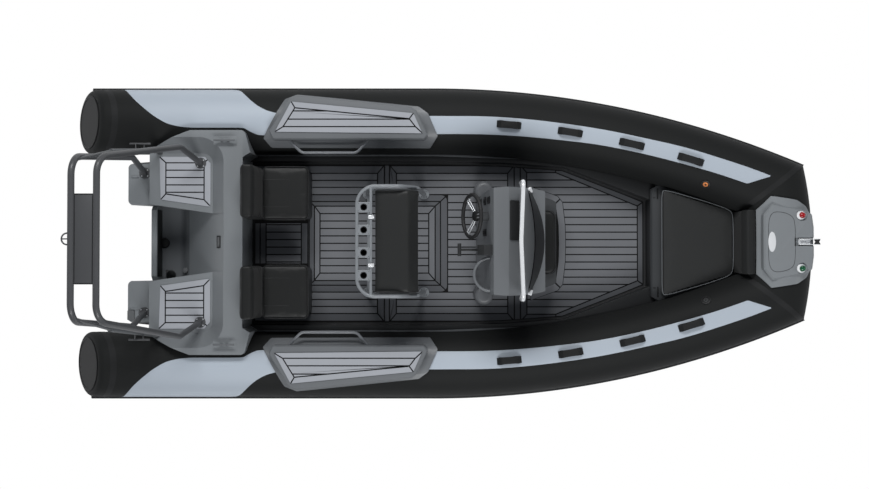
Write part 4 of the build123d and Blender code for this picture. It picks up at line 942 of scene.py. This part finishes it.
# ---------------------------------------------------------------- aft seats
# Two seats on moulded boxes, with foam cushions and backs in black marine vinyl. Each seat has a piped seam
# round its edge and a stitched panel against the back.
vinyl_black = (22, 23, 23)
crease_depth = 0.0005
settling_frames = 20


def vinyl(name, colour, rough=0.5):
    """Embossed marine vinyl: a fine leather grain with soft creases."""
    material = surface(name, colour, rough, mottle=0.06, mottle_scale=5, grain_scale=900, grain_depth=0.0002,
                       Sheen_Weight=0.05)
    cells = pattern(material, "ShaderNodeTexVoronoi", 330)
    cells.feature = "DISTANCE_TO_EDGE"
    press_in(material, cells.outputs["Distance"], crease_depth, 0.4)
    return material


def padded(name, bm, material, cap, voxel=0.010, shrink=0.004):
    """A cushion: its plain form filled by cloth pressure, held near the form, then subdivided once."""
    for v in bm.verts:
        v.co -= v.normal * shrink
    obj = finished(bm, name, material, crease=180)
    remesh = obj.modifiers.new("even", "REMESH")
    remesh.mode = "VOXEL"
    remesh.voxel_size = voxel
    held = bpy.data.meshes.new_from_object(obj.evaluated_get(bpy.context.evaluated_depsgraph_get()))
    obj.modifiers.clear()
    obj.data = held
    rest = [v.co.copy() for v in held.vertices]
    cloth = obj.modifiers.new("air", "CLOTH")
    cloth.settings.quality = 5
    cloth.settings.use_pressure = True
    cloth.settings.uniform_pressure_force = 4
    cloth.settings.effector_weights.gravity = 0
    cloth.point_cache.frame_start = 1
    cloth.point_cache.frame_end = settling_frames
    for frame_number in range(1, settling_frames + 1):
        bpy.context.scene.frame_set(frame_number)
    blown = obj.evaluated_get(bpy.context.evaluated_depsgraph_get())
    moved = [v.co.copy() for v in blown.data.vertices]
    obj.modifiers.clear()
    bpy.context.scene.frame_set(1)
    for v, home, there in zip(held.vertices, rest, moved):
        step = there - home
        v.co = home + step * min(1, cap / max(step.length, 1e-9))
    for polygon in held.polygons:
        polygon.use_smooth = True
    held.materials.clear()
    held.materials.append(material)
    smooth = obj.modifiers.new("smooth", "SUBSURF")
    smooth.levels = 1
    smooth.render_levels = 1
    return obj


def soft_form(node, bevel, side=0):
    """The CAD form of a cushion, or one side's copy of it, with its edges rounded over."""
    bm = cad_copy(node)
    bmesh.ops.delete(bm, geom=[v for v in bm.verts if v.co.y * side < 0], context="VERTS")
    face_outwards(bm)
    return eased(bm, bevel, angle=35, segments=4)


def cord_round(bm, points, radius, closed=True, resolution=2):
    """A round cord laid through points: piping, a welt or a thin rod."""
    curve = bpy.data.curves.new("cord", "CURVE")
    curve.dimensions = "3D"
    curve.bevel_depth = radius
    curve.bevel_resolution = resolution
    curve.use_fill_caps = not closed
    run = curve.splines.new("NURBS" if closed else "POLY")
    run.points.add(len(points) - 1)
    for knot, place in zip(run.points, points):
        knot.co = (*place, 1)
    run.use_cyclic_u = closed
    run.order_u = 3
    holder = bpy.data.objects.new("cord", curve)
    bpy.context.collection.objects.link(holder)
    laid = bpy.data.meshes.new_from_object(holder.evaluated_get(bpy.context.evaluated_depsgraph_get()))
    bm.from_mesh(laid)
    bpy.data.objects.remove(holder)


def rounded_loop(x0, x1, y0, y1, radius, z):
    """Points round a level rectangle with rounded corners."""
    points = []
    for cx, cy, first in ((x1 - radius, y1 - radius, 0), (x0 + radius, y1 - radius, 90),
                          (x0 + radius, y0 + radius, 180), (x1 - radius, y0 + radius, 270)):
        for k in range(4):
            a = math.radians(first + 30 * k)
            points.append((cx + radius * math.cos(a), cy + radius * math.sin(a), z))
    return points


seat_y = 0.425
# A seam's aft and forward ends, half width, corner radius, height and the cord's radius
seat_seam = (-1.482, -1.084, 0.230, 0.045, 0.598, 0.0035)
seat_panel = (-1.486, -1.245, 0.118, 0.014, 0.6205, 0.0022)
seat_vinyl = vinyl("seat_vinyl", vinyl_black)
piping_vinyl_colour = (30, 31, 32)
piping_vinyl = vinyl("piping_vinyl", piping_vinyl_colour)
seat_box_gelcoat_colour = (38, 39, 41)
base_gelcoat = gelcoat("seat_box_gelcoat", seat_box_gelcoat_colour, 0.45)
seat_boxes = finished(eased(cad_copy("seat_bases"), 0.008), "seat_boxes", base_gelcoat)
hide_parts("seat_bases")
for side, word in ((1, "port"), (-1, "starboard")):
    seat_form = soft_form("seat_cushions", 0.020, side)
    cushion = padded(f"seat_cushion_{word}", seat_form, seat_vinyl, cap=0.008,
                     shrink=0.006)
    back_form = soft_form("seat_backrests", 0.022, side)
    back = padded(f"seat_back_{word}", back_form, seat_vinyl, cap=0.009, shrink=0.006)
    if side > 0:
        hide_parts("seat_cushions")
        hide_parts("seat_backrests")
    seam_bm = bmesh.new()
    for aft, ahead, half, rounding, height, cord in (seat_seam, seat_panel):
        line = rounded_loop(aft, ahead, side * seat_y - half, side * seat_y + half, rounding, height)
        cord_round(seam_bm, line, cord)
    finished(seam_bm, f"seat_piping_{word}", piping_vinyl, crease=60)

# ---------------------------------------------------------------- side steps and rails
# Grey moulded steps that saddle the tubes, bonded along a wide flange, with a light foam pad let into the top
# and a painted grab rail on the inboard side.
side_step_top = 0.715
step_grey = (104, 107, 110)
rail_grey = (106, 109, 113)
step_gelcoat = gelcoat("side_step_gelcoat", step_grey, 0.4)
saddle_bm = cad_copy("side_steps")
upright = [e for e in saddle_bm.edges if e.calc_length() > 0.01 and e.calc_face_angle(0) > 0.3
           and abs(e.verts[0].co.z - e.verts[1].co.z) > 0.8 * e.calc_length()]
soften(saddle_bm, upright, 0.028, 5, clamp=True)
saddles = finished(eased(saddle_bm, 0.006, angle=24), "side_step_saddles", step_gelcoat,
                   crease=30)
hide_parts("side_steps")
side_pad_base = side_step_top + 0.005
side_pad_top = side_step_top + 0.008
side_pad_outline = ((-1370, 936), (-1225, 1205), (-176, 1105), (-95, 922))
side_pad_inside = ((-1290, 985), (-1190, 1146), (-215, 1053), (-163, 985))
side_pad_lines = (985, 1049, 1119, 1150)
top_bm = bmesh.new()
top_black_bm = bmesh.new()
for side in (1, -1):
    tile(top_black_bm, to_side(side_pad_outline, side), side_step_top + pad_glue, side_pad_base)
    walls = []
    for k in range(4):
        n = (k + 1) % 4
        border = (side_pad_outline[k], side_pad_outline[n], side_pad_inside[n], side_pad_inside[k])
        tile(top_bm, to_side(border, side), side_pad_base, side_pad_top)
        walls.append(to_side((side_pad_inside[n], side_pad_inside[k]), side)[::side])
    for low, high in zip(side_pad_lines[:-1], side_pad_lines[1:]):
        corners = ((-1300, low), (-100, low), (-100, high), (-1300, high))
        tile(top_bm, to_side(corners, side), side_pad_base, side_pad_top, walls)
side_pad_planks = finished(top_bm, "side_pad_planks", pad_foam, crease=20)
finished(top_black_bm, "side_pad_black_layer", deck_black)
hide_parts("side_pads")


def dress(node, material):
    """Give a CAD node, whose shape is right, its finish."""
    bpy.data.objects[node].material_slots[0].material = material


rail_paint = surface("rail_paint", rail_grey, 0.38, mottle=0.04, mottle_scale=8, grain_scale=600,
                     Coat_Weight=0.2)
dress("side_rails", rail_paint)

# ---------------------------------------------------------------- leaning post
# A welded tube frame, powder coated light grey, bolted down through round feet. It carries a padded seat and
# a back hoop with a bar, and four plates with sockets for fishing rods lie across the two.
post_grey = (128, 132, 136)
hoop_height = 1.14
socket_x = -0.573
socket_rows = (-0.276, -0.092, 0.092, 0.276)
post_paint = surface("post_paint", post_grey, 0.36, mottle=0.04, mottle_scale=9, grain_scale=600,
                     Coat_Weight=0.25)
dress("leaning_post", post_paint)
dress("back_hoop", post_paint)
plate_bm = eased(cad_copy("rod_holders"), 0.0015, angle=50, segments=2)
rod_plates = finished(plate_bm, "rod_plates", post_paint, crease=30)
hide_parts("rod_holders")
# Radius and height of the socket's lining, up its outside, over its lip and down inside
socket_lining = ((0.0235, 0.977), (0.0248, 0.979), (0.0248, 1.1594), (0.0275, 1.1596), (0.0275, 1.1602),
                 (0.0225, 1.1606), (0.0218, 1.150), (0.0218, 0.985))
socket_bm = bmesh.new()
for y in socket_rows:
    turned(socket_bm, (socket_x, y, 0), socket_lining, 40)
finished(socket_bm, "rod_socket_liners", black_fitting, crease=40)


def foot_bolts(bm, x, y, z, circle, head):
    """Four bolt heads in a circle round the foot of a frame."""
    for k in range(4):
        a = math.radians(45 + 90 * k)
        turned(bm, (x + circle * math.cos(a), y + circle * math.sin(a), z), head, 14)


plate_top = 1.1582
plate_screws = ((0.040, 0.030), (0.040, -0.030), (-0.040, 0.030), (-0.040, -0.030))
post_feet_x = (-0.6, -0.094)
post_feet_y = 0.441
post_foot_top = 0.212
post_bolt_circle = 0.034
screw_head = ((0.0036, 0), (0.0036, 0.0006), (0.0026, 0.0014))
post_bolt_head = ((0.0058, 0), (0.0058, 0.0015), (0.0042, 0.0032))
screw_bm = bmesh.new()
for y in socket_rows:
    for dx, dy in plate_screws:
        turned(screw_bm, (socket_x + dx, y + dy, plate_top), screw_head, 14)
for x in post_feet_x:
    for side in (1, -1):
        foot_bolts(screw_bm, x, side * post_feet_y, post_foot_top, post_bolt_circle, post_bolt_head)
cleat_steel_colour = (96, 99, 102)
cleat_steel = surface("cleat_steel", cleat_steel_colour, 0.42, mottle=0.05, mottle_scale=20, grain_scale=900)
bright_steel_colour = (214, 217, 220)
steel = surface("bright_steel", bright_steel_colour, 0.3, mottle=0.03, mottle_scale=30, grain_scale=1200,
                grain_depth=0.00004, Metallic=0.4)
# Painted reflection: the polished rail and fittings are drawn near white and barely metallic, standing in for
# the white room mirrored in their chrome.
chrome_painted_reflection_colour = (232, 234, 236)
bright = surface("bright_rail", chrome_painted_reflection_colour, 0.2, mottle=0.01, mottle_scale=10, grain_scale=700,
                 grain_depth=0.00004, Metallic=0.2, Coat_Weight=0.4)
finished(screw_bm, "post_screws", cleat_steel, crease=40)
latch_x = -0.517
latch_knob = ((0.009, 0), (0.009, 0.006), (0.005, 0.009))
latch_bm = bmesh.new()
for y in (-0.196, 0.196):
    block(latch_bm, (latch_x, y, hoop_height + 0.014), (0.040, 0.030, 0.020), 0.005)
    turned(latch_bm, (latch_x, y + 0.004, hoop_height + 0.022), latch_knob, 20)
    block(latch_bm, (-0.496, y, hoop_height + 0.004), (0.014, 0.022, 0.012), 0.003)
finished(latch_bm, "bar_latches", bright, crease=40)
lean_vinyl_colour = (32, 33, 33)
lean_vinyl = vinyl("lean_vinyl", lean_vinyl_colour)
lean_pad = padded("lean_cushion_cover", soft_form("lean_cushion", 0.014), lean_vinyl,
                  cap=0.008, shrink=0.005)
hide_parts("lean_cushion")
lean_welt_y = 0.428
piping_radius = 0.003
# The welt over each end of the cushion, as places forward and heights
lean_welt = ((-0.492, 1.000), (-0.490, 1.068), (-0.455, 1.083), (-0.30, 1.085), (-0.20, 1.086),
             (-0.150, 1.066), (-0.127, 1.020), (-0.126, 0.995))
welt_bm = bmesh.new()
for y in (-lean_welt_y, lean_welt_y):
    cord_round(welt_bm, [(x, y, z) for x, z in lean_welt], piping_radius, closed=False)
finished(welt_bm, "lean_cushion_piping", piping_vinyl, crease=60)

# ---------------------------------------------------------------- console
# The helm: a grey glass-fibre moulding with a raised brow, a sloped shelf for the chart screen, a smoked
# acrylic windscreen inside a bright rail, and a seat on its front.
console_grey = (104, 107, 110)
nose_grey_painted_shade = (58, 60, 62)
dash_height = 1.13
nose_shade_start = 0.905
seat_shade_start = 0.86
seat_shade_top = 1.1
console_gelcoat = gelcoat("console_gelcoat", console_grey, 0.36)
console_bm = eased(cad_copy("console"), 0.016, angle=16, segments=4)
console_shell = finished(console_bm, "console_shell", console_gelcoat, crease=30)
# Painted shade: the nose, and the seat's face below the brow, take a darker copy of the console's gelcoat for
# the shade on the console's front.
console_shell.data.materials.append(gelcoat("nose_gelcoat_painted_shade", nose_grey_painted_shade, 0.45))
for face in console_shell.data.polygons:
    if face.center.x > nose_shade_start or (face.center.x > seat_shade_start and face.center.z < seat_shade_top):
        face.material_index = 1
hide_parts("console")
pod_gelcoat_colour = (94, 96, 99)
pod_gelcoat = gelcoat("pod_gelcoat", pod_gelcoat_colour, 0.42)
pods = finished(eased(cad_copy("corner_pods"), 0.003), "console_pods", pod_gelcoat, crease=30)
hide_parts("corner_pods")

# Switch panels on the aft face, with rockers: place, width, height and whether on the face's steep lower part
switch_bm = bmesh.new()
rocker_bm = bmesh.new()
for x, y, z, wide, tall, steep in (
    (0.4428, 0.338, 1.062, 0.058, 0.100, False),
    (0.4190, 0.338, 0.935, 0.066, 0.070, False),
    (0.3985, 0.352, 0.665, 0.040, 0.110, True),
    (0.4185, 0.076, 0.930, 0.060, 0.112, False),
):
    up = Vector((40, 0, 700) if steep else (43, 0, 225)).normalized()
    aft = Vector((-up.z, 0, up.x))
    lay = turn_onto(Vector((0, -1, 0)), up, aft)
    block(switch_bm, Vector((x, y, z)) + aft * 0.001, (wide, tall, 0.007), turn=lay)
    for k in range(3):
        rocker = Vector((x, y, z)) + aft * 0.006 + up * (k - 1) * tall * 0.28
        block(rocker_bm, rocker, (wide * 0.5, tall * 0.2, 0.006), turn=lay)
switch_black_colour = (14, 14, 15)
switch_black = surface("switch_black", switch_black_colour, 0.4, mottle=0.04, mottle_scale=30,
                       grain_scale=1400)
finished(switch_bm, "switch_panels", switch_black)
finished(rocker_bm, "switch_rockers", black_fitting)

# Chart screen, let into the sloped shelf: a matt bezel round dark glass
glass_place = Vector((0.645, 0.17, 1.1575))
glass_size = (0.072, 0.290, 0.003)
fall = math.atan2(0.055, 0.09)
down_shelf = Vector((math.cos(fall), 0, -math.sin(fall)))
off_shelf = Vector((math.sin(fall), 0, math.cos(fall)))
bezel_black_colour = (38, 39, 40)
bezel_black = surface("bezel_black", bezel_black_colour, 0.5, mottle=0.04, mottle_scale=20, grain_scale=1200)
screen_bezel = finished(eased(cad_copy("plotter"), 0.002), "chart_bezel", bezel_black)
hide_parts("plotter")
glass_bm = bmesh.new()
shelf_turn = turn_onto(down_shelf, to_port, off_shelf)
block(glass_bm, glass_place + off_shelf * 0.0115, glass_size, 0.001, shelf_turn)
chart_glass_colour = (44, 45, 46)
chart_glass = surface("chart_glass", chart_glass_colour, 0.2, mottle=0.02, grain_scale=300,
                      grain_depth=0.00002, Coat_Weight=0.5)
finished(glass_bm, "chart_glass", chart_glass)

smoked_acrylic_colour = (6, 6, 7)
smoked = surface("smoked_acrylic", smoked_acrylic_colour, 0.3, mottle=0.02, grain_scale=200,
                 grain_depth=0.00003, Transmission_Weight=0.1, Specular_IOR_Level=0.1)
dress("windscreen", smoked)
dress("console_rail", bright)
clamp_size = (0.030, 0.046, 0.030)
clamp_turn = 0.30
clamp_bm = bmesh.new()
for side in (1, -1):
    block(clamp_bm, (0.776, side * 0.414, dash_height + 0.012), clamp_size, 0.005,
          Matrix.Rotation(side * clamp_turn, 4, "Z"))
finished(clamp_bm, "windscreen_clamps", bright, crease=40)

# Front seat: a vinyl cushion on the console's nose
front_vinyl_colour = (20, 21, 21)
front_vinyl = vinyl("front_vinyl", front_vinyl_colour)
front_pad = padded("front_cushion_cover", soft_form("front_cushion", 0.014), front_vinyl,
                   cap=0.007, voxel=0.008, shrink=0.004)
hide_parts("front_cushion")
front_line_bm = bmesh.new()
cord_round(front_line_bm, rounded_loop(0.879, 1.043, -0.272, 0.272, 0.055, 0.642), piping_radius)
finished(front_line_bm, "front_cushion_piping", piping_vinyl, crease=60)

# ---------------------------------------------------------------- steering wheel and helm
# A soft grip moulded over a steel hoop, with finger swells, three pairs of stainless spokes and a black hub
# that turns on the helm's shaft.
wheel_radius = 0.174
wheel_grip = 0.0165
wheel_centre = Vector((0.305, 0.206, 1.095))
wheel_lean = math.radians(23)
lean_turn = turn_onto(to_port, Vector((math.sin(wheel_lean), 0, math.cos(wheel_lean))),
                      Vector((math.cos(wheel_lean), 0, -math.sin(wheel_lean))))
wheel_place = Matrix.Translation(wheel_centre) @ lean_turn
finger_swells = 36
grip_bm = bmesh.new()
ring = bmesh.ops.create_circle(grip_bm, segments=20, radius=wheel_grip)["verts"]
bmesh.ops.rotate(grip_bm, verts=ring, matrix=Matrix.Rotation(math.pi / 2, 3, "X"))
bmesh.ops.translate(grip_bm, verts=ring, vec=(wheel_radius, 0, 0))
bmesh.ops.spin(grip_bm, geom=grip_bm.verts[:] + grip_bm.edges[:], cent=(0, 0, 0), axis=(0, 0, 1),
               angle=math.tau, steps=4 * finger_swells, use_merge=True)
for v in grip_bm.verts:
    around = math.atan2(v.co.y, v.co.x)
    middle = Vector((math.cos(around), math.sin(around), 0)) * wheel_radius
    v.co = middle + (v.co - middle) * (0.955 - 0.045 * math.cos(around * finger_swells))
bmesh.ops.transform(grip_bm, matrix=wheel_place, verts=grip_bm.verts[:])
face_outwards(grip_bm)
wheel_grip_colour = (38, 38, 39)
wheel_rubber = surface("wheel_grip", wheel_grip_colour, 0.55, mottle=0.05, mottle_scale=25, grain_scale=1300)
wheel_rim = finished(grip_bm, "wheel_rim", wheel_rubber, body="wheel", crease=60)
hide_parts("steering_wheel")
# Along each spoke: distance from the hub's middle, spread as a share of the pair's at the hub, and height
spoke_rows = ((0.020, 1.0, 0.034), (0.060, 1.0, 0.030), (0.110, 1.25, 0.014), (0.162, 1.5, 0.002))
spoke_radius = 0.0052
spoke_shoe = (0.012, 0.050, 0.006)
spoke_bm = bmesh.new()
for turn_degrees in (90, 210, 330):
    a = math.radians(turn_degrees)
    out = Vector((math.cos(a), math.sin(a), 0))
    across = Vector((-out.y, out.x, 0))
    for apart in (-0.012, 0.012):
        path = [out * r + across * apart * spread + Vector((0, 0, z)) for r, spread, z in spoke_rows]
        cord_round(spoke_bm, path, spoke_radius, closed=False, resolution=3)
    block(spoke_bm, out * 0.155 + Vector((0, 0, 0.003)), spoke_shoe, 0.0025, Matrix.Rotation(a, 4, "Z"))
bmesh.ops.transform(spoke_bm, matrix=wheel_place, verts=spoke_bm.verts[:])
finished(spoke_bm, "wheel_spokes", steel, body="wheel", crease=40)
hub_rows = ((0.030, 0.016), (0.038, 0.019), (0.041, 0.026), (0.041, 0.048), (0.030, 0.0628))
hub_boss_rows = ((0.010, 0.0135), (0.021, 0.0145), (0.023, 0.0175))
hub_bm = bmesh.new()
turned(hub_bm, (0, 0, 0), hub_rows, 48)
turned(hub_bm, (0, 0, 0), hub_boss_rows)
bmesh.ops.transform(hub_bm, matrix=wheel_place, verts=hub_bm.verts[:])
finished(hub_bm, "wheel_hub", black_fitting, body="wheel", crease=30)
helm_housing_colour = (66, 68, 70)
helm_gelcoat = surface("helm_housing", helm_housing_colour, 0.5, mottle=0.05, mottle_scale=20,
                       grain_scale=900)
helm_case = finished(eased(cad_copy("helm_hub"), 0.003), "helm_housing", helm_gelcoat)
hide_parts("helm_hub")
throttle_black_colour = (44, 45, 46)
control = surface("throttle_black", throttle_black_colour, 0.42, mottle=0.05, mottle_scale=20,
                  grain_scale=1000)
throttle_case = finished(eased(cad_copy("throttle"), 0.0025, angle=50), "throttle_control", control)
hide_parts("throttle")
dress("grab_lip", console_gelcoat)
lip_centre = (0.4581, -0.27)
lip_radius = 0.1351
lip_height = 1.0815
lip_bead = 0.009
lip_bm = bmesh.new()
lip_path = [(lip_centre[0] + lip_radius * math.cos(a), lip_centre[1] + lip_radius * math.sin(a), lip_height)
            for a in [math.radians(94 + 172 * k / 12) for k in range(13)]]
cord_round(lip_bm, lip_path, lip_bead, closed=False, resolution=3)
finished(lip_bm, "grab_lip_bead", console_gelcoat, crease=60)

# ---------------------------------------------------------------- bow locker and cushions
# A moulded locker across the bow, with two black drain slots, a fitted cushion in woven black cover with pale
# piping, and an upright bolster against the bow tube.
locker_height = 0.45
# Painted shade: the locker's grey gelcoat is drawn dark for the shade on its walls under the cushion.
locker_grey_painted_shade = (56, 58, 60)
locker_gelcoat = gelcoat("locker_gelcoat", locker_grey_painted_shade, 0.42)
locker = finished(eased(cad_copy("bow_locker"), 0.006), "bow_locker_lid", locker_gelcoat)
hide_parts("bow_locker")
# Each drain slot is an L: a long leg across the boat and a short one aft of it
slot_height = locker_height + 0.0003
slots_bm = bmesh.new()
for side in (1, -1):
    block(slots_bm, (1.955, side * 0.430, slot_height), (0.014, 0.092, 0.003), 0.0012)
    block(slots_bm, (1.925, side * 0.395, slot_height), (0.022, 0.010, 0.003), 0.0012)
finished(slots_bm, "locker_slots", black_fitting)
bow_cloth_colour = (38, 39, 39)
bow_cloth = woven(vinyl("bow_cloth", bow_cloth_colour, 0.6), threads=300, depth=0.0004)
bow_pad = padded("bow_cushion_cover", soft_form("bow_cushion", 0.016), bow_cloth,
                 cap=0.010, voxel=0.012, shrink=0.005)
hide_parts("bow_cushion")
pale_piping_colour = (96, 99, 102)
pale_piping = surface("pale_piping", pale_piping_colour, 0.5, mottle=0.05, mottle_scale=20, grain_scale=900)
bow_piping_height = locker_height + 0.086
bow_piping_radius = 0.0042
bow_aft_seam = [(1.974, y) for y in (-0.44, -0.22, 0, 0.22, 0.44)]
bow_port_seam = [(2.003, 0.459), (2.20, 0.404), (2.40, 0.345), (2.555, 0.290), (2.590, 0.250), (2.594, 0.12)]
bow_seam = bow_aft_seam + bow_port_seam + to_side(reversed(bow_port_seam), -1)
edge_bm = bmesh.new()
cord_round(edge_bm, [(x, y, bow_piping_height) for x, y in bow_seam], bow_piping_radius)
finished(edge_bm, "bow_cushion_piping", pale_piping, crease=60)
bolster_vinyl_colour = (31, 32, 32)
bolster_vinyl = vinyl("bolster_vinyl", bolster_vinyl_colour)
bolster = padded("bow_bolster_cover", soft_form("bow_bolster", 0.014), bolster_vinyl,
                 cap=0.007, voxel=0.009, shrink=0.004)
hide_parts("bow_bolster")

# ---------------------------------------------------------------- bow step, lights and anchor roller
# A grey moulded step bonded over the bow tube, with pockets for the navigation lights, a blank polished plate
# and a stainless roller for the anchor rode.
bow_step_height = 0.905
bow_grey = (126, 130, 133)
bow_gelcoat = gelcoat("bow_step_gelcoat", bow_grey, 0.36)
bow_moulding = finished(eased(cad_copy("bow_step"), 0.0045, angle=26), "bow_step_moulding", bow_gelcoat,
                        crease=30)
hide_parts("bow_step")
seam_height = bow_step_height + 0.0002
seam_radius = 0.0016
seam_to_port = ((2.782, 0.0), (2.782, 0.19), (2.828, 0.262), (2.990, 0.225), (3.006, 0.12), (3.006, 0.052))
bow_step_line = [*seam_to_port, *to_side(reversed(seam_to_port[1:]), -1)]
seam_bm = bmesh.new()
cord_round(seam_bm, [(x, y, seam_height) for x, y in bow_step_line], seam_radius)
finished(seam_bm, "bow_step_seam", black_fitting, crease=60)
light_y = 0.222
housing_rows = ((0.036, 0), (0.036, 0.010), (0.030, 0.016))
lens_rows = ((0.026, 0), (0.0255, 0.008), (0.021, 0.016), (0.012, 0.0215), (0.004, 0.023))
lamp_white_bm = bmesh.new()
for side in (1, -1):
    turned(lamp_white_bm, (3.054, side * light_y, 0.8963), housing_rows, 36)
lamp_housing_colour = (232, 234, 236)
lamp_white = surface("lamp_housing", lamp_housing_colour, 0.3, mottle=0.02, mottle_scale=20, grain_scale=900)
lamp_base = finished(lamp_white_bm, "nav_light_housings", lamp_white, crease=40)
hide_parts("nav_lights")
for side, word, tint in ((1, "port", (176, 24, 30)), (-1, "starboard", (20, 96, 60))):
    lens_bm = bmesh.new()
    turned(lens_bm, (3.062, side * light_y, 0.912), lens_rows, axis=(0.10, side * 0.30, 1))
    lens = surface(f"lens_{word}", tint, 0.1, mottle=0.04, mottle_scale=60, grain_scale=900,
                   grain_depth=0.00005, Transmission_Weight=0.35, Coat_Weight=0.5)
    finished(lens_bm, f"nav_lens_{word}", lens, crease=50)
plate_shell = finished(eased(cad_copy("oval_plate"), 0.001, segments=2), "blank_oval_plate", bright)
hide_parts("oval_plate")
cheek_bm = eased(cad_copy("roller_cheeks"), 0.0012, angle=40, segments=2)
cheeks = finished(cheek_bm, "roller_fork", bright)
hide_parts("roller_cheeks")
roller_pin = (3.190, -0.0195, 0.899)
# Radius of the roller and place along its pin
roller_rows = ((0.0235, 0), (0.024, 0.002), (0.0235, 0.008), (0.0165, 0.0165), (0.0165, 0.0225),
               (0.0235, 0.031), (0.024, 0.037), (0.0235, 0.039))
roll_bm = bmesh.new()
turned(roll_bm, roller_pin, roller_rows, 48, axis=(0, 1, 0))
roller_rubber_colour = (30, 31, 32)
roller_rubber = surface("roller_rubber", roller_rubber_colour, 0.55, mottle=0.06, mottle_scale=40,
                        grain_scale=1200)
roller = finished(roll_bm, "rode_roller", roller_rubber, body="bow_roller", crease=40)
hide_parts("anchor_roller")

# ---------------------------------------------------------------- arch over the stern
# Two hoops of powder-coated tube on bolted feet, tied by a plate across the top and by braces whose rods
# slide into thick sleeves, with hand grips on the sleeves and a towing ring behind.
arch_grey = (72, 73, 75)
arch_height = 1.995
arch_paint = surface("arch_paint", arch_grey, 0.42, mottle=0.05, mottle_scale=8, grain_scale=700,
                     Coat_Weight=0.15)
for node in ("arch_forward_hoop", "arch_aft_hoop", "arch_grips", "tow_ring"):
    dress(node, arch_paint)
# Painted light: the braces and sleeves take a lighter copy of the arch's paint for their tops lit from above.
sleeve_lit_colour = (84, 86, 88)
sleeve_lit_paint = surface("sleeve_paint_painted_light", sleeve_lit_colour, 0.4, mottle=0.05, mottle_scale=8, grain_scale=700)
dress("arch_braces", sleeve_lit_paint)
arch_sheet = finished(eased(cad_copy("arch_plate"), 0.0012, segments=2), "arch_top_plate", arch_paint)
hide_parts("arch_plate")
border_height = arch_height + 0.0045
border_bm = bmesh.new()
for x in (-2.4935, -2.6245):
    block(border_bm, (x, 0, border_height), (0.004, 0.640, 0.003), 0.001)
for y in (0.326, -0.326):
    block(border_bm, (-2.559, y, border_height), (0.150, 0.006, 0.003), 0.001)
finished(border_bm, "arch_plate_border", black_fitting)
arch_feet = ((-2.03, 0.69, 0.55), (-2.545, 0.613, 0.44))
arch_bolt_circle = 0.037
arch_bolt_head = ((0.0055, 0), (0.0055, 0.0015), (0.0040, 0.0035))
bolt_bm = bmesh.new()
for x, y, z in arch_feet:
    for side in (1, -1):
        foot_bolts(bolt_bm, x, side * y, z, arch_bolt_circle, arch_bolt_head)
finished(bolt_bm, "arch_foot_bolts", steel, crease=40)
cleat_bm = eased(cad_copy("stern_cleats"), 0.004)
cleats = finished(cleat_bm, "stern_cleat_castings", cleat_steel)
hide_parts("stern_cleats")
